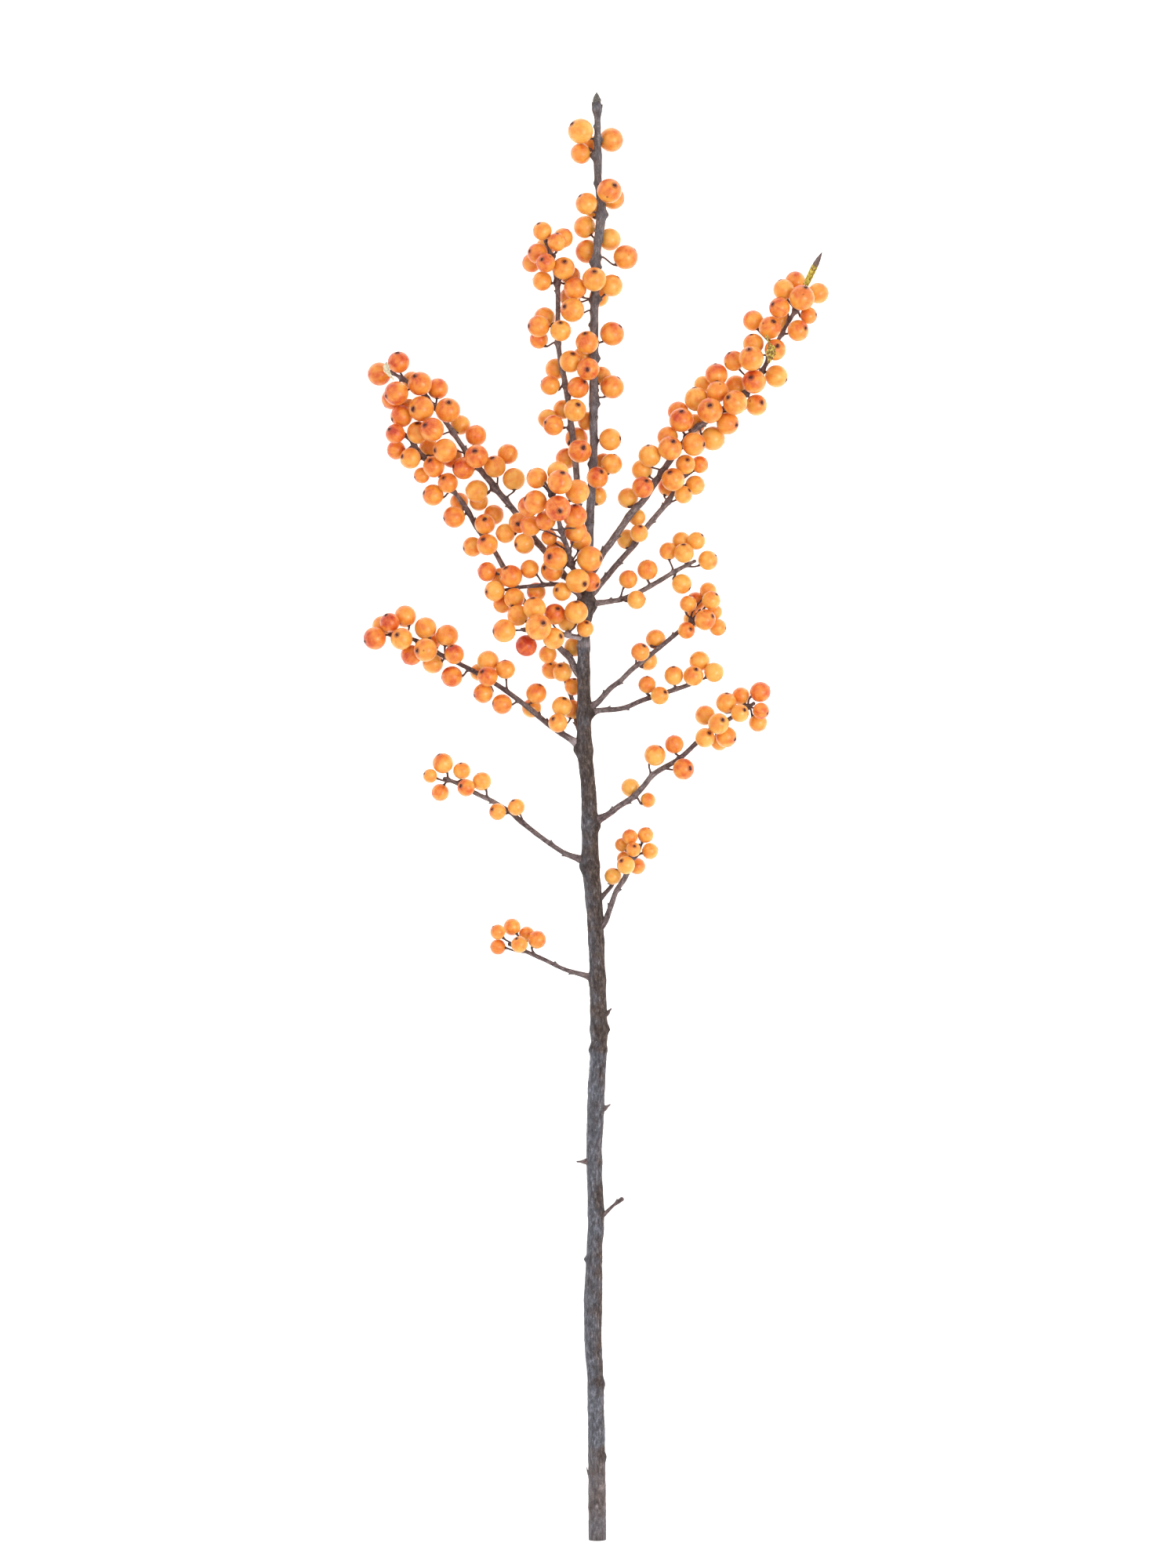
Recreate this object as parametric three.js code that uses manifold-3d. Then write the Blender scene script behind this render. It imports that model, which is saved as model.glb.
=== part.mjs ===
// Cut sprig of winterberry holly, lying on its back: a woody stem with a leader and side twigs,
// about 280 ripe orange berries on thin stalks, and three scraps of dry leaf.
// Millimetres. +Y runs up the sprig from the cut end, +X to its right, +Z away from the surface.
// Every piece of wood is a tapered solid. The berries of one stretch of twig are one closed piece:
// a thin sleeve of bark round the wood, their stalks and the berries themselves.
import * as THREE from "three";
import { mergeVertices } from "three/addons/utils/BufferGeometryUtils.js";
import Module from "manifold-3d";

const wasm = await Module();
wasm.setup();

// Driving dimensions
const GAP = 0.35; // clearance between neighbouring pieces
const SLEEVE_WALL = 0.5; // bark sleeve that a bunch grows from
const SLEEVE_MARGIN = 1.3; // sleeve beyond its first and last leaf joint
const WOOD_SIDES = 6;
const STEM_SIDES = 8;
const JOINT_SPACING = 6; // between leaf joints along a twig
const STALK_RADIUS = 0.35;
const STALK_SIDES = 3;
const BERRIES_PER_BUNCH = 12;
const LONGEST_BARE_STRETCH = 20; // a longer stretch with no berries ends a bunch
const SETTLE_STEPS = 500;
const SIDEWAYS_SHARE = 0.2; // crowded berries give way in height first

const COLOURS = {
  bark: { color: "#4d403a", roughness: 0.85 },
  twig: { color: "#5a4a42", roughness: 0.8 },
  berry: { color: "#f08a2c", roughness: 0.4 },
  dryLeaf: { color: "#a9a04a", roughness: 0.7 },
};

// Wood. A route is a list of [right, up, height, radius]; it starts on its parent's centre line.
// A berry is [right, up, lift above the twig's centre line, diameter].
const STEM = {
  name: "main_stem",
  sides: STEM_SIDES,
  route: [
    [0.3, 0, 3.5, 3.5], [0, 37, 3.5, 3.4], [-0.6, 67, 4.2, 3.2], [-1.6, 86, 5, 3.1],
    [-0.9, 119, 6.6, 2.9], [-0.2, 132, 7.3, 3.1], [-1, 158, 8.8, 3.1], [-0.2, 184, 10.3, 3.1],
    [0.8, 203, 11.4, 2.8], [0.9, 213, 12, 3.1], [-0.2, 249, 14, 3.1], [-1.3, 267, 15, 3.3],
    [-2.6, 281, 15.8, 3], [-2.9, 297, 16.7, 2.7], [-3.6, 314, 17.6, 2.7], [-4.9, 327, 18.3, 2.8],
    [-5.2, 345, 19.3, 2.7], [-5.4, 360, 20, 2.6], [-5.3, 375, 20.7, 2.7], [-4.7, 386, 21, 3.3],
    [-4, 397, 21, 2.7], [-3.6, 411, 20.6, 2], [-2.4, 431, 19.6, 1.6], [-1.2, 450, 18.4, 1.5],
    [-1.3, 467, 17.4, 1.5], [-0.9, 509, 14.6, 1.5], [-0.2, 531, 13.6, 1.4], [2, 551, 12.8, 1.7],
    [0.6, 564, 12.6, 1.3], [0.4, 586, 12.4, 1.05], [0.2, 594.5, 12.6, 1.5], [0, 600, 12.8, 0.3],
  ],
  berries: [
    [-6, 584, 2, 10.4], [5, 581, -6, 10], [-6, 576, -5, 8.6], [-2, 579, -8, 8],
    [5, 559, 6, 10], [7, 557, -5, 9.2], [-4, 554, 4, 9], [-1, 553, -9, 8.4],
    [-5, 545, -5, 9], [5, 540, -5, 9.2], [12, 532, 0, 10], [-4, 535, -7, 9.6],
    [-1, 522, 9, 9.8], [6, 520, 3, 9.2], [1, 516, -8, 8], [-9, 518, 5, 9.2],
    [-12, 517, -3, 8.6], [-10, 510, 7, 9.8], [6, 500, 2, 10], [-4, 496, 7, 9.4],
    [-5, 491, -4, 8], [-4, 485, 8, 9.2], [2, 483, -7, 8], [6, 478, 0, 9.8],
    [-4, 464, -6, 7.6], [4, 456, 2, 9.2], [6, 446, 0, 8.6], [0, 440, 6, 8.8],
    [3, 447, -5, 7.4], [0, 433, -6, 8],
  ],
};

const TWIGS = [
  {
    name: "twig_low_left",
    route: [
      [0.2, 232.5, 13.2, 1], [-5, 234.2, 13.4, 0.9], [-13.3, 236.6, 13, 0.75],
      [-21.5, 240.5, 12.2, 0.75], [-29, 243.8, 11.4, 0.7], [-36, 247, 11, 0.75],
    ],
    berries: [
      [-41, 252, 3, 6.2], [-35, 254, -2, 7], [-32, 247, 6, 6.8], [-25, 249, 0, 7.4],
      [-41, 246, 1, 6.4], [-29, 251, -3, 6.4],
    ],
  },
  {
    name: "twig_low_right",
    route: [
      [-0.3, 249, 14, 1.25], [3.9, 257.4, 16, 1], [5.9, 263, 17, 0.95], [8.1, 269.1, 18, 0.95],
      [12, 275.3, 18.6, 1], [14.6, 282.8, 18.6, 0.9], [17.5, 288, 18.4, 0.6],
    ],
    berries: [
      [12, 280, 7, 7.4], [16, 280, -5, 6.8], [14, 291, 3, 6.4], [20, 292, 1, 6.6],
      [22, 286, 2, 6.8], [11, 287, -2, 5.6], [15, 287, 5, 6], [13, 283, -3, 6],
    ],
  },
  {
    name: "twig_low_back",
    route: [[-1.2, 264, 15, 0.9], [2.4, 267, 12.5, 0.8], [6, 271, 10.5, 0.75], [7.5, 274, 9.8, 0.55]],
    berries: [[7, 275, 5, 7]],
  },
  {
    name: "twig_mid_left",
    route: [
      [-2.6, 281, 15.8, 1.3], [-8.8, 283.1, 15.6, 1.05], [-14.3, 285.4, 15.2, 0.9],
      [-23.7, 291.9, 14.2, 0.9], [-31.9, 298.4, 13.2, 1], [-36, 302, 12.8, 0.85],
      [-42.9, 306.2, 12, 0.8], [-49.7, 309.4, 11.2, 0.8], [-57.5, 313.6, 10.6, 0.7],
      [-63, 315.6, 10.2, 0.65],
    ],
    berries: [
      [-34, 303, 3, 7], [-41, 302, 5, 7], [-48, 314, 2, 7.8], [-54, 312, 6, 7.2],
      [-56, 319, 0, 7.2], [-64, 322, 1, 8.4], [-69, 317, 2, 5.8], [-65, 310, -2, 7.2],
    ],
  },
  {
    name: "twig_mid_right",
    route: [
      [-2.9, 297, 16.7, 1.45], [4.9, 301, 16.6, 1.1], [9.1, 304.2, 16.4, 1.05], [15.1, 308.1, 16, 1.05],
      [19.5, 312.7, 15.4, 1], [24.1, 317.9, 15, 1], [34.1, 323.9, 14, 0.9],
      [41.3, 330.5, 13.2, 0.9], [46.8, 335.4, 12.6, 0.85], [55.3, 340.6, 12, 0.8], [65, 346.8, 11.4, 0.65],
    ],
    berries: [
      [14, 312, -5, 7.6], [20, 308, 0, 6.2], [25, 324, 1, 8.8], [33, 329, 1, 7.6],
      [35, 321, 3, 8.8], [45, 342, -1, 8.2], [45, 333, 6, 8], [50, 338, 9, 8.6],
      [53, 334, 2, 8.6], [51, 331, -5, 7], [54, 347, 3, 8.4], [59, 343, 6, 7.4],
      [60, 350, -2, 7.4], [67, 350, 2, 8.4], [68, 344, 5, 6.8], [67, 339, -1, 7.6],
    ],
  },
  {
    name: "twig_left_arm",
    route: [
      [-4.9, 328, 18.3, 1.35], [-11.4, 332.5, 18.6, 1.1], [-17.6, 336.4, 18.6, 1],
      [-25.7, 342.9, 18, 0.95], [-32.5, 348.4, 17.4, 0.9], [-41.3, 354.6, 16.4, 0.85],
      [-49.7, 359.5, 14.6, 0.8], [-56.9, 363.4, 13.2, 0.8], [-64.7, 367.2, 12, 0.8],
      [-70.5, 371, 10.8, 0.8], [-77.5, 374, 9.8, 0.65], [-86, 375.5, 8.8, 0.55],
    ],
    berries: [
      [-14, 345, 0, 8.2], [-16, 339, 5, 7.8], [-9.4, 342, -6, 7.8], [-25, 351, 1, 8.4],
      [-27, 345, -6, 8], [-38, 348, 2, 8.2], [-47, 351, 1, 8], [-45, 358, 6, 8.2],
      [-45, 364, 0, 9], [-38, 361, 2, 8], [-49, 360, -6, 7], [-60, 358, 1, 8.6],
      [-59, 367, 5, 8], [-62, 375, 2, 9.2], [-71, 378, 0, 9], [-71, 369, 7, 9.6],
      [-76, 370, 2, 8.6], [-68, 364, -4, 8.6], [-69, 373, -6, 8], [-92, 374, 3, 9.4],
      [-89, 379, -3, 8.6], [-85, 380, 4, 8], [-80, 383, 0, 9], [-81, 374, 5, 9],
    ],
  },
  {
    name: "twig_right_third",
    route: [
      [-5.2, 342, 19.2, 1.2], [1.5, 344, 20, 0.95], [10.7, 344.8, 20.4, 0.9], [18.9, 348.1, 20.4, 0.85],
      [30.6, 352, 20, 0.85], [38, 354.6, 19.6, 0.8], [43, 357.5, 19.2, 0.55],
    ],
    berries: [
      [21, 354, 1, 7.2], [26, 350, 6, 7.4], [32, 358, 2, 7.8], [40, 358, 5, 8.2],
      [43, 364, 0, 8.4], [48, 360, 2, 8],
    ],
  },
  {
    name: "twig_right_second",
    route: [
      [-5.2, 343.5, 19.2, 1.3], [0.7, 347.6, 20, 1], [5.5, 352.9, 20.4, 0.95],
      [9.8, 356.2, 20.6, 0.9], [14, 360.4, 20.4, 0.9], [17.2, 363, 20.2, 0.9],
      [26.3, 370.2, 19.4, 0.85], [33.8, 376.4, 18.6, 0.8], [39.3, 380.6, 18, 0.8],
      [42.6, 385, 17.6, 0.6],
    ],
    berries: [
      [18, 368, 5, 7.6], [21, 365, -4, 8], [25, 373, -4, 8.2], [37, 377, 5, 7],
      [40, 383, -6, 7.4], [38, 388, 2, 7], [41, 388, -4, 8], [46, 393, 1, 7],
      [47, 389, 5, 7.6], [45, 382, 7, 8.6], [49, 384, 0, 6.2], [50, 379, 1, 7],
    ],
  },
  {
    name: "twig_right_first",
    route: [
      [-4.3, 388, 21, 1.2], [0.5, 388.3, 22.5, 1], [7.8, 389.3, 22.8, 0.9], [10.7, 390, 22.6, 0.9],
      [18.5, 393.3, 22, 0.85], [25.4, 397.2, 21.2, 0.85], [32.8, 401.7, 20.4, 0.8],
      [40.3, 405.6, 19.6, 0.6],
    ],
    berries: [
      [13, 398, 2, 7.6], [21, 402, 1, 8.4], [16, 390, 4, 7.6], [34, 398, 1, 8.2],
      [30, 410, -1, 7.4], [36, 409, 4, 8.2], [35, 414, -3, 7.6], [41, 414, 1, 7.4],
      [46, 406, 2, 8.2],
    ],
  },
  {
    name: "twig_back",
    route: [
      [-5.2, 333, 18.6, 1], [-7.6, 336.5, 12, 0.85], [-9.2, 343, 7, 0.8], [-10.2, 348.5, 6.4, 0.75],
      [-12.6, 355.4, 6.8, 0.75], [-13.6, 363.5, 7.5, 0.5],
    ],
    berries: [[-20.2, 367.1, 5, 7.4], [-18.2, 361.2, 2, 7.8], [-13.4, 360.1, 7, 8], [-9.8, 354.3, 6, 7.4]],
  },
  {
    name: "front_spray_low",
    route: [
      [-5.3, 373.9, 20.7, 1], [-9.5, 374.3, 25, 0.9], [-16, 375.6, 32, 0.8], [-23, 376.6, 38, 0.8],
      [-30.5, 376.8, 43, 0.7],
    ],
    berries: [
      [-26, 385.1, 8, 9.2], [-32, 383.2, 0, 8.6], [-24, 378.1, 16, 10.6], [-38, 376.3, 2, 9.4],
      [-29, 370.4, 0, 8.8], [-19, 374.4, 12, 8.8], [-17, 383.4, 4, 8.6], [-8.6, 384.2, 12, 9.6],
      [-11.4, 380.6, 2, 8.2], [-5, 377.7, 7, 7],
    ],
  },
  {
    name: "twig_left_thin",
    route: [
      [-4.7, 389, 21, 1], [-8.5, 392.5, 26, 0.8], [-13, 395, 27.5, 0.75], [-17.2, 395.9, 28, 0.75],
      [-26.3, 395.2, 27, 0.7], [-32.5, 394.6, 26, 0.7], [-38, 393.6, 25, 0.55],
    ],
    berries: [
      [-45, 401, 0, 8], [-35, 399, 5, 9.2], [-40, 399, -4, 8], [-28, 402, 2, 7.6],
      [-42, 393, 4, 8.4], [-34, 390, 6, 8.4], [-39, 388, -1, 7.6], [-25, 393, -6, 7.8],
      [-14.2, 393.9, 4, 7.6],
    ],
  },
  {
    name: "branch_left_upper",
    route: [
      [-4.6, 390, 21, 1.55], [-9, 395, 21.6, 1.45], [-13.3, 399.8, 21.6, 1.35], [-19.8, 407.9, 21, 1.3],
      [-25.4, 414.7, 20.2, 1.25], [-33.2, 425.4, 19, 1.25], [-41.6, 435.5, 18, 1.25],
      [-44.5, 439.4, 17.6, 1.35], [-52.7, 449.2, 16, 1], [-61.1, 461.5, 14, 1],
      [-67.9, 470.6, 12.6, 0.9], [-75.1, 478.1, 11.4, 0.8], [-83.2, 483.3, 10.6, 0.65],
      [-87.5, 486, 10.2, 0.45],
    ],
    berries: [
      [-30, 413, 6, 8.4], [-32, 421, 7, 8.4], [-38, 417, 2, 8], [-38, 449, 2, 8.4],
      [-42, 445, 3, 9], [-35, 440, 3, 9.2], [-49, 435, 1, 9.2], [-49, 448, 8, 9.6],
      [-55, 444, 1, 9.2], [-50, 430, -5, 7.6], [-58, 462, -3, 8.2], [-50, 458, 0, 8.6],
      [-62, 468, 6, 10.2], [-64, 452, 7, 9.8], [-60, 449, -3, 8.6],
      [-68, 459, 8, 9.8], [-72, 468, 8, 10.4], [-67, 477, 0, 8.6], [-73, 479, 5, 9.8],
      [-77, 481, -5, 8], [-79, 470, -2, 8], [-81, 465, 3, 9], [-83, 475, 7, 9.8],
      [-84, 473, 0, 8.6], [-83, 487, 2, 9], [-89, 485, -3, 9.6],
    ],
  },
  {
    name: "branch_left_lower",
    route: [
      [-5.4, 353, 20, 1.4], [-8.6, 360.5, 19.2, 1.3], [-11.2, 365.7, 18.2, 1.3],
      [-15.9, 370.6, 16.8, 1.25], [-20.8, 378, 15.4, 1.2],
      [-27.5, 385.8, 14.2, 1.15], [-33, 393.5, 13.6, 1.1], [-39, 404, 13.2, 1.1],
      [-43, 411, 13, 1], [-49.4, 419.3, 12.8, 1], [-53.5, 427, 12.8, 1], [-59, 434.6, 12.6, 0.9],
      [-63.7, 439.7, 12.4, 0.85], [-69, 445.5, 12.3, 0.8], [-74, 452, 12.2, 0.75],
      [-81, 460.5, 12, 0.5],
    ],
    berries: [
      [-10, 370, -4, 8], [-43, 425, 1, 8.2], [-46, 421, 5, 8.4], [-45, 413, 8, 8.8],
      [-50, 413, 1, 8.2], [-58, 425, 2, 9], [-57, 431, -4, 7.6], [-61, 439, 4, 8.2], [-67, 434, 3, 8.8],
      [-67, 445, 6, 8.8], [-72, 442, 1, 6.6], [-77, 449, 3, 8.6], [-70, 453, -4, 8],
      [-83, 452, 0, 7.8], [-83, 459, 6, 8], [-75, 458, 5, 9.2],
    ],
  },
  {
    name: "branch_right_lower",
    route: [
      [-4.2, 389.5, 21, 1.5], [-1, 393.6, 19.8, 1.4], [3.9, 399, 18.8, 1.2],
      [7.5, 403.4, 18, 1.2], [11.7, 408.2, 17.4, 1.1], [15.3, 412.3, 16.8, 1.1],
      [21.5, 420.9, 15.6, 1.1], [28.9, 429.7, 14.6, 1.1], [31.9, 434.5, 14.2, 1],
      [35.1, 439.7, 13.8, 0.8], [38, 443.6, 13.4, 0.5],
    ],
    berries: [
      [17.6, 417, 5, 7.4], [12.6, 415, -5, 8.2], [31.6, 439, 7, 9.4], [29.6, 437, -6.5, 8],
      [34.6, 435, 3, 7.4], [39.6, 438, 1, 8], [41.6, 445, 1, 7.2], [36.6, 446, 5, 8],
    ],
  },
  {
    name: "branch_right_upper",
    route: [
      [-4, 397, 21, 1.6], [-0.9, 402.5, 22, 1.5], [2.5, 408.9, 22, 1.4], [6.1, 413.7, 21.6, 1.4],
      [11.3, 421.2, 20.6, 1.4], [13.9, 425.1, 20, 1.4], [19.4, 431, 19.2, 1.3],
      [24.3, 438.4, 18.4, 1.3], [30.2, 447.2, 17.6, 1.2], [36, 455, 17, 1.1],
      [41, 460.9, 15, 1.1], [44.5, 463.1, 14.4, 1.1], [53.3, 469.6, 12.8, 1.1],
      [61.4, 475.2, 11.4, 1.1], [66.3, 481, 10.6, 0.9], [70.8, 488.8, 10, 0.9],
      [75.2, 497.5, 9.4, 0.8], [80, 506, 9, 0.8], [84.8, 513.5, 8.8, 0.7],
      [88.1, 518.4, 8.6, 0.5],
    ],
    berries: [
      [13, 432, -4, 8.4], [19, 436, 7, 8.8], [17, 424, -5, 7], [22, 449, 3, 9.2],
      [19, 444, -2, 8.6], [30, 452, 8, 9.8], [31, 456, 0, 8.6], [40, 454, 6, 9.6],
      [35, 464, 6, 10], [34, 468, -2, 8.6], [41, 463, -6, 8.4], [42, 473, 3, 9.8],
      [47, 468, 9, 10.4], [48, 458, 0, 10], [54, 463, 5, 9.2], [56, 471, 9, 10],
      [58, 479, -4, 8.6], [50, 476, 5, 9], [49, 482, 1, 9.2], [45, 480, -3, 7.4],
      [57, 489, 3, 8.4], [65, 496, 3, 8.6], [64, 488, 9, 10.2], [65, 481, 6, 9.8],
      [66, 471, 1, 8.8], [74, 483, 2, 9.2], [74, 493.4, 7, 8.8], [65, 506, 0, 8.4],
      [72, 503, 6, 9.2], [77, 506, -4, 8], [76, 512, 3, 8.6], [78, 518, 1, 8.6],
      [82, 522, -3, 8.4], [85, 515, 7, 10.4], [91, 518, -4.5, 8.6], [88, 508, 1, 7],
      [83, 502, 3, 8.8],
    ],
  },
  {
    name: "branch_beside_leader",
    route: [
      [-3.9, 403, 21, 1.4], [-6.8, 413, 19.6, 1.35], [-7.8, 430.6, 17.6, 1.3], [-8.5, 443.6, 16.6, 1.3],
      [-10.7, 463.1, 15.6, 1.2], [-12.7, 477.8, 15, 1.15], [-15.9, 495.6, 14.4, 1.05],
      [-16.3, 520, 13.8, 0.95], [-19.8, 535.3, 13.4, 0.8], [-22.1, 541.1, 13.2, 0.5],
    ],
    berries: [
      [-22, 542, 6, 7.8], [-14, 540, 0, 8.2], [-17, 538, 7, 7.6], [-21, 537, -5, 8],
      [-24, 533, 4, 8.4], [-27, 530, -3, 7.8], [-21, 529, 8, 7.8], [-14, 527, 6, 9.2],
      [-11, 523, -3, 8], [-22, 522, 2, 8], [-20, 507, -2, 8.8], [-24, 503, 4, 9],
      [-15, 501, 6, 8.6], [-24, 498, -3, 7.6], [-17, 486, -6.5, 8.6], [-11, 488, 6, 9],
      [-18, 479, 0, 8], [-8, 477, 2, 8.8], [-14, 469, -5, 8], [-9, 468, 7, 9.2],
      [-20, 465, -2, 8], [-18, 462, 4, 8.4], [-9, 456, -6.5, 9.2], [-7, 451, 9, 9.6],
      [-12, 450, -7, 8.6],
    ],
  },
  {
    name: "front_spray_high",
    route: [
      [-4.6, 393.8, 21, 1.1], [-7.5, 398.6, 26, 1], [-10.5, 403.9, 31, 0.95], [-12, 410.2, 36.5, 0.95],
      [-14.6, 417.5, 42.5, 0.95], [-16.3, 424.4, 48, 0.85], [-18.5, 431.4, 53, 0.75],
      [-20.8, 436, 56, 0.5],
    ],
    berries: [
      [-24, 436.9, 2, 8.6], [-16, 440.9, 0, 8.6], [-15.6, 436.6, 9, 10], [-8, 433.1, 4, 9.8],
      [-25, 429.9, 7, 9.6], [-28, 427.3, 0, 8.6], [-15.9, 425.9, 17, 10.4], [-9, 423.4, 6, 9.8],
      [-19.4, 421.2, 3, 8.2], [-27, 419.8, -3, 8.6], [-9, 416.9, 1, 9.2], [-6, 414.2, -3, 9],
      [-19.5, 414.8, -2, 6.4], [-16, 406.9, 9, 9.8], [-17, 409.8, -2, 8], [-3, 406.1, 9, 10.4],
      [-18.3, 401.6, 3, 9.2], [-7.9, 396.9, 13, 9.8], [-4.3, 397.4, 3, 8.2],
    ],
  },
  {
    name: "dead_twig",
    route: [[-0.2, 131.5, 7.3, 0.7], [4.5, 136, 8.6, 0.6], [7, 138.4, 9.2, 0.55], [10.4, 141, 9.8, 0.8]],
    berries: [],
  },
  {
    name: "spur_upper_right",
    route: [[0.9, 216, 12.2, 1.2], [4.2, 218.2, 12.8, 0.8], [5.6, 219.8, 13.2, 0.3]],
    berries: [],
  },
  {
    name: "spur_lower_right",
    route: [[-0.3, 178, 10, 1], [3.6, 179, 10.4, 0.7], [5, 180, 10.6, 0.3]],
    berries: [],
  },
  {
    name: "spur_left",
    route: [[-1, 157, 8.8, 1], [-5, 156.6, 9.2, 0.7], [-7.5, 156.6, 9.4, 0.3]],
    berries: [],
  },
];

// Dry leaf scraps: a route down the middle as [right, up, height], half width, and thickness.
const LEAVES = [
  { name: "dry_leaf_tip", route: [[86.5, 520, 20], [89.6, 526.5, 22], [93, 533, 24]], width: 4, thick: 1.4 },
  { name: "dry_leaf_right", route: [[70, 498, 26], [72, 493, 27], [71, 487, 26]], width: 5, thick: 1.2 },
  { name: "dry_leaf_left", route: [[-87, 488, 19], [-87, 485, 20], [-84, 481, 21]], width: 4, thick: 1.2 },
];
const LEAF_TIP = 0.15; // share of the width left at a leaf's two ends

const vector = (values) => new THREE.Vector3(values[0], values[1], values[2]);

// A point at a distance along a piece of wood, with its radius there.
function pointAlong(wood, distance) {
  let left = distance;
  for (let i = 1; i < wood.points.length; i += 1) {
    const length = wood.points[i].distanceTo(wood.points[i - 1]);
    if (left <= length || i === wood.points.length - 1) {
      const share = Math.min(left / length, 1);
      const centre = wood.points[i - 1].clone().lerp(wood.points[i], share);
      return { centre, radius: THREE.MathUtils.lerp(wood.radii[i - 1], wood.radii[i], share) };
    }
    left -= length;
  }
  return { centre: wood.points[0].clone(), radius: wood.radii[0] };
}

// The nearest place on a piece of wood to a point.
function nearestOn(wood, point) {
  let best = { away: Infinity };
  let walked = 0;
  for (let i = 1; i < wood.points.length; i += 1) {
    const line = new THREE.Line3(wood.points[i - 1], wood.points[i]);
    const share = line.closestPointToPointParameter(point, true);
    const centre = line.at(share, new THREE.Vector3());
    const away = centre.distanceTo(point);
    if (away < best.away) {
      const radius = THREE.MathUtils.lerp(wood.radii[i - 1], wood.radii[i], share);
      best = { away, centre, radius, distance: walked + share * line.distance() };
    }
    walked += line.distance();
  }
  return best;
}

// One ring of a tapered solid, square to the way it runs.
function ring(centre, along, halfWidth, halfDepth, sides) {
  const across = new THREE.Vector3().crossVectors(along, new THREE.Vector3(0, 0, 1)).normalize();
  const outward = new THREE.Vector3().crossVectors(across, along).normalize();
  return Array.from({ length: sides }, (_, i) => {
    const angle = (2 * Math.PI * i) / sides;
    const point = centre.clone().addScaledVector(across, halfWidth * Math.cos(angle));
    return point.addScaledVector(outward, halfDepth * Math.sin(angle));
  });
}

function ringsAlong(points, halfWidths, halfDepths, sides) {
  return points.map((point, i) => {
    const before = points[Math.max(i - 1, 0)];
    const after = points[Math.min(i + 1, points.length - 1)];
    const along = after.clone().sub(before).normalize();
    return ring(point, along, halfWidths[i], halfDepths[i], sides);
  });
}

// A closed skin over rings, with a centre point in each end cap.
function skin(points, rings) {
  const sides = rings[0].length;
  const vertices = [points[0], ...rings.flat(), points[points.length - 1]];
  const last = vertices.length - 1;
  const faces = [];
  for (let i = 0; i < sides; i += 1) {
    const next = (i + 1) % sides;
    faces.push(0, 1 + i, 1 + next);
    for (let level = 0; level < rings.length - 1; level += 1) {
      const near = 1 + level * sides;
      const far = near + sides;
      faces.push(near + i, far + i, far + next, near + i, far + next, near + next);
    }
    faces.push(last, last - sides + next, last - sides + i);
  }
  const geometry = new THREE.BufferGeometry();
  const places = vertices.flatMap((vertex) => vertex.toArray());
  geometry.setAttribute("position", new THREE.Float32BufferAttribute(places, 3));
  geometry.setIndex(faces);
  return geometry;
}

// The part of a piece of wood between two distances, made fatter all round by extra.
function woodGeometry(wood, extra, from, to) {
  const stops = [from];
  let walked = 0;
  for (let i = 1; i < wood.points.length; i += 1) {
    walked += wood.points[i].distanceTo(wood.points[i - 1]);
    if (walked > from + GAP && walked < to - GAP) {
      stops.push(walked);
    }
  }
  stops.push(to);
  const places = stops.map((stop) => pointAlong(wood, stop));
  const points = places.map((place) => place.centre);
  const radii = places.map((place) => place.radius + extra);
  return skin(points, ringsAlong(points, radii, radii, wood.sides));
}

function toSolid(geometry) {
  const bare = geometry.clone();
  bare.deleteAttribute("normal");
  bare.deleteAttribute("uv");
  const merged = mergeVertices(bare, 1e-4);
  const mesh = new wasm.Mesh({
    numProp: 3,
    vertProperties: new Float32Array(merged.attributes.position.array),
    triVerts: new Uint32Array(merged.index.array),
  });
  return new wasm.Manifold(mesh);
}

function toGeometry(solid) {
  const mesh = solid.getMesh();
  const geometry = new THREE.BufferGeometry();
  geometry.setAttribute("position", new THREE.BufferAttribute(mesh.vertProperties, 3));
  geometry.setIndex(new THREE.BufferAttribute(mesh.triVerts, 1));
  return geometry;
}

function makeWood(spec) {
  const points = spec.route.map(vector);
  const radii = spec.route.map((stop) => stop[3]);
  const wood = { name: spec.name, sides: spec.sides ?? WOOD_SIDES, points, radii, start: 0 };
  wood.length = points.slice(1).reduce((sum, point, i) => sum + point.distanceTo(points[i]), 0);
  return wood;
}

// A twig starts where its end face has cleared its parent's bark by the gap.
function clearOfParent(wood, parent) {
  for (let start = 0; start < wood.length; start += GAP / 2) {
    const here = pointAlong(wood, start);
    const along = pointAlong(wood, start + GAP).centre.sub(here.centre).normalize();
    const corners = ring(here.centre, along, here.radius, here.radius, wood.sides);
    const clear = corners.every((corner) => {
      const place = nearestOn(parent, corner);
      return place.away > place.radius + GAP;
    });
    if (clear) {
      return start;
    }
  }
  throw new Error(`${wood.name} never leaves its parent`);
}

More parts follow.
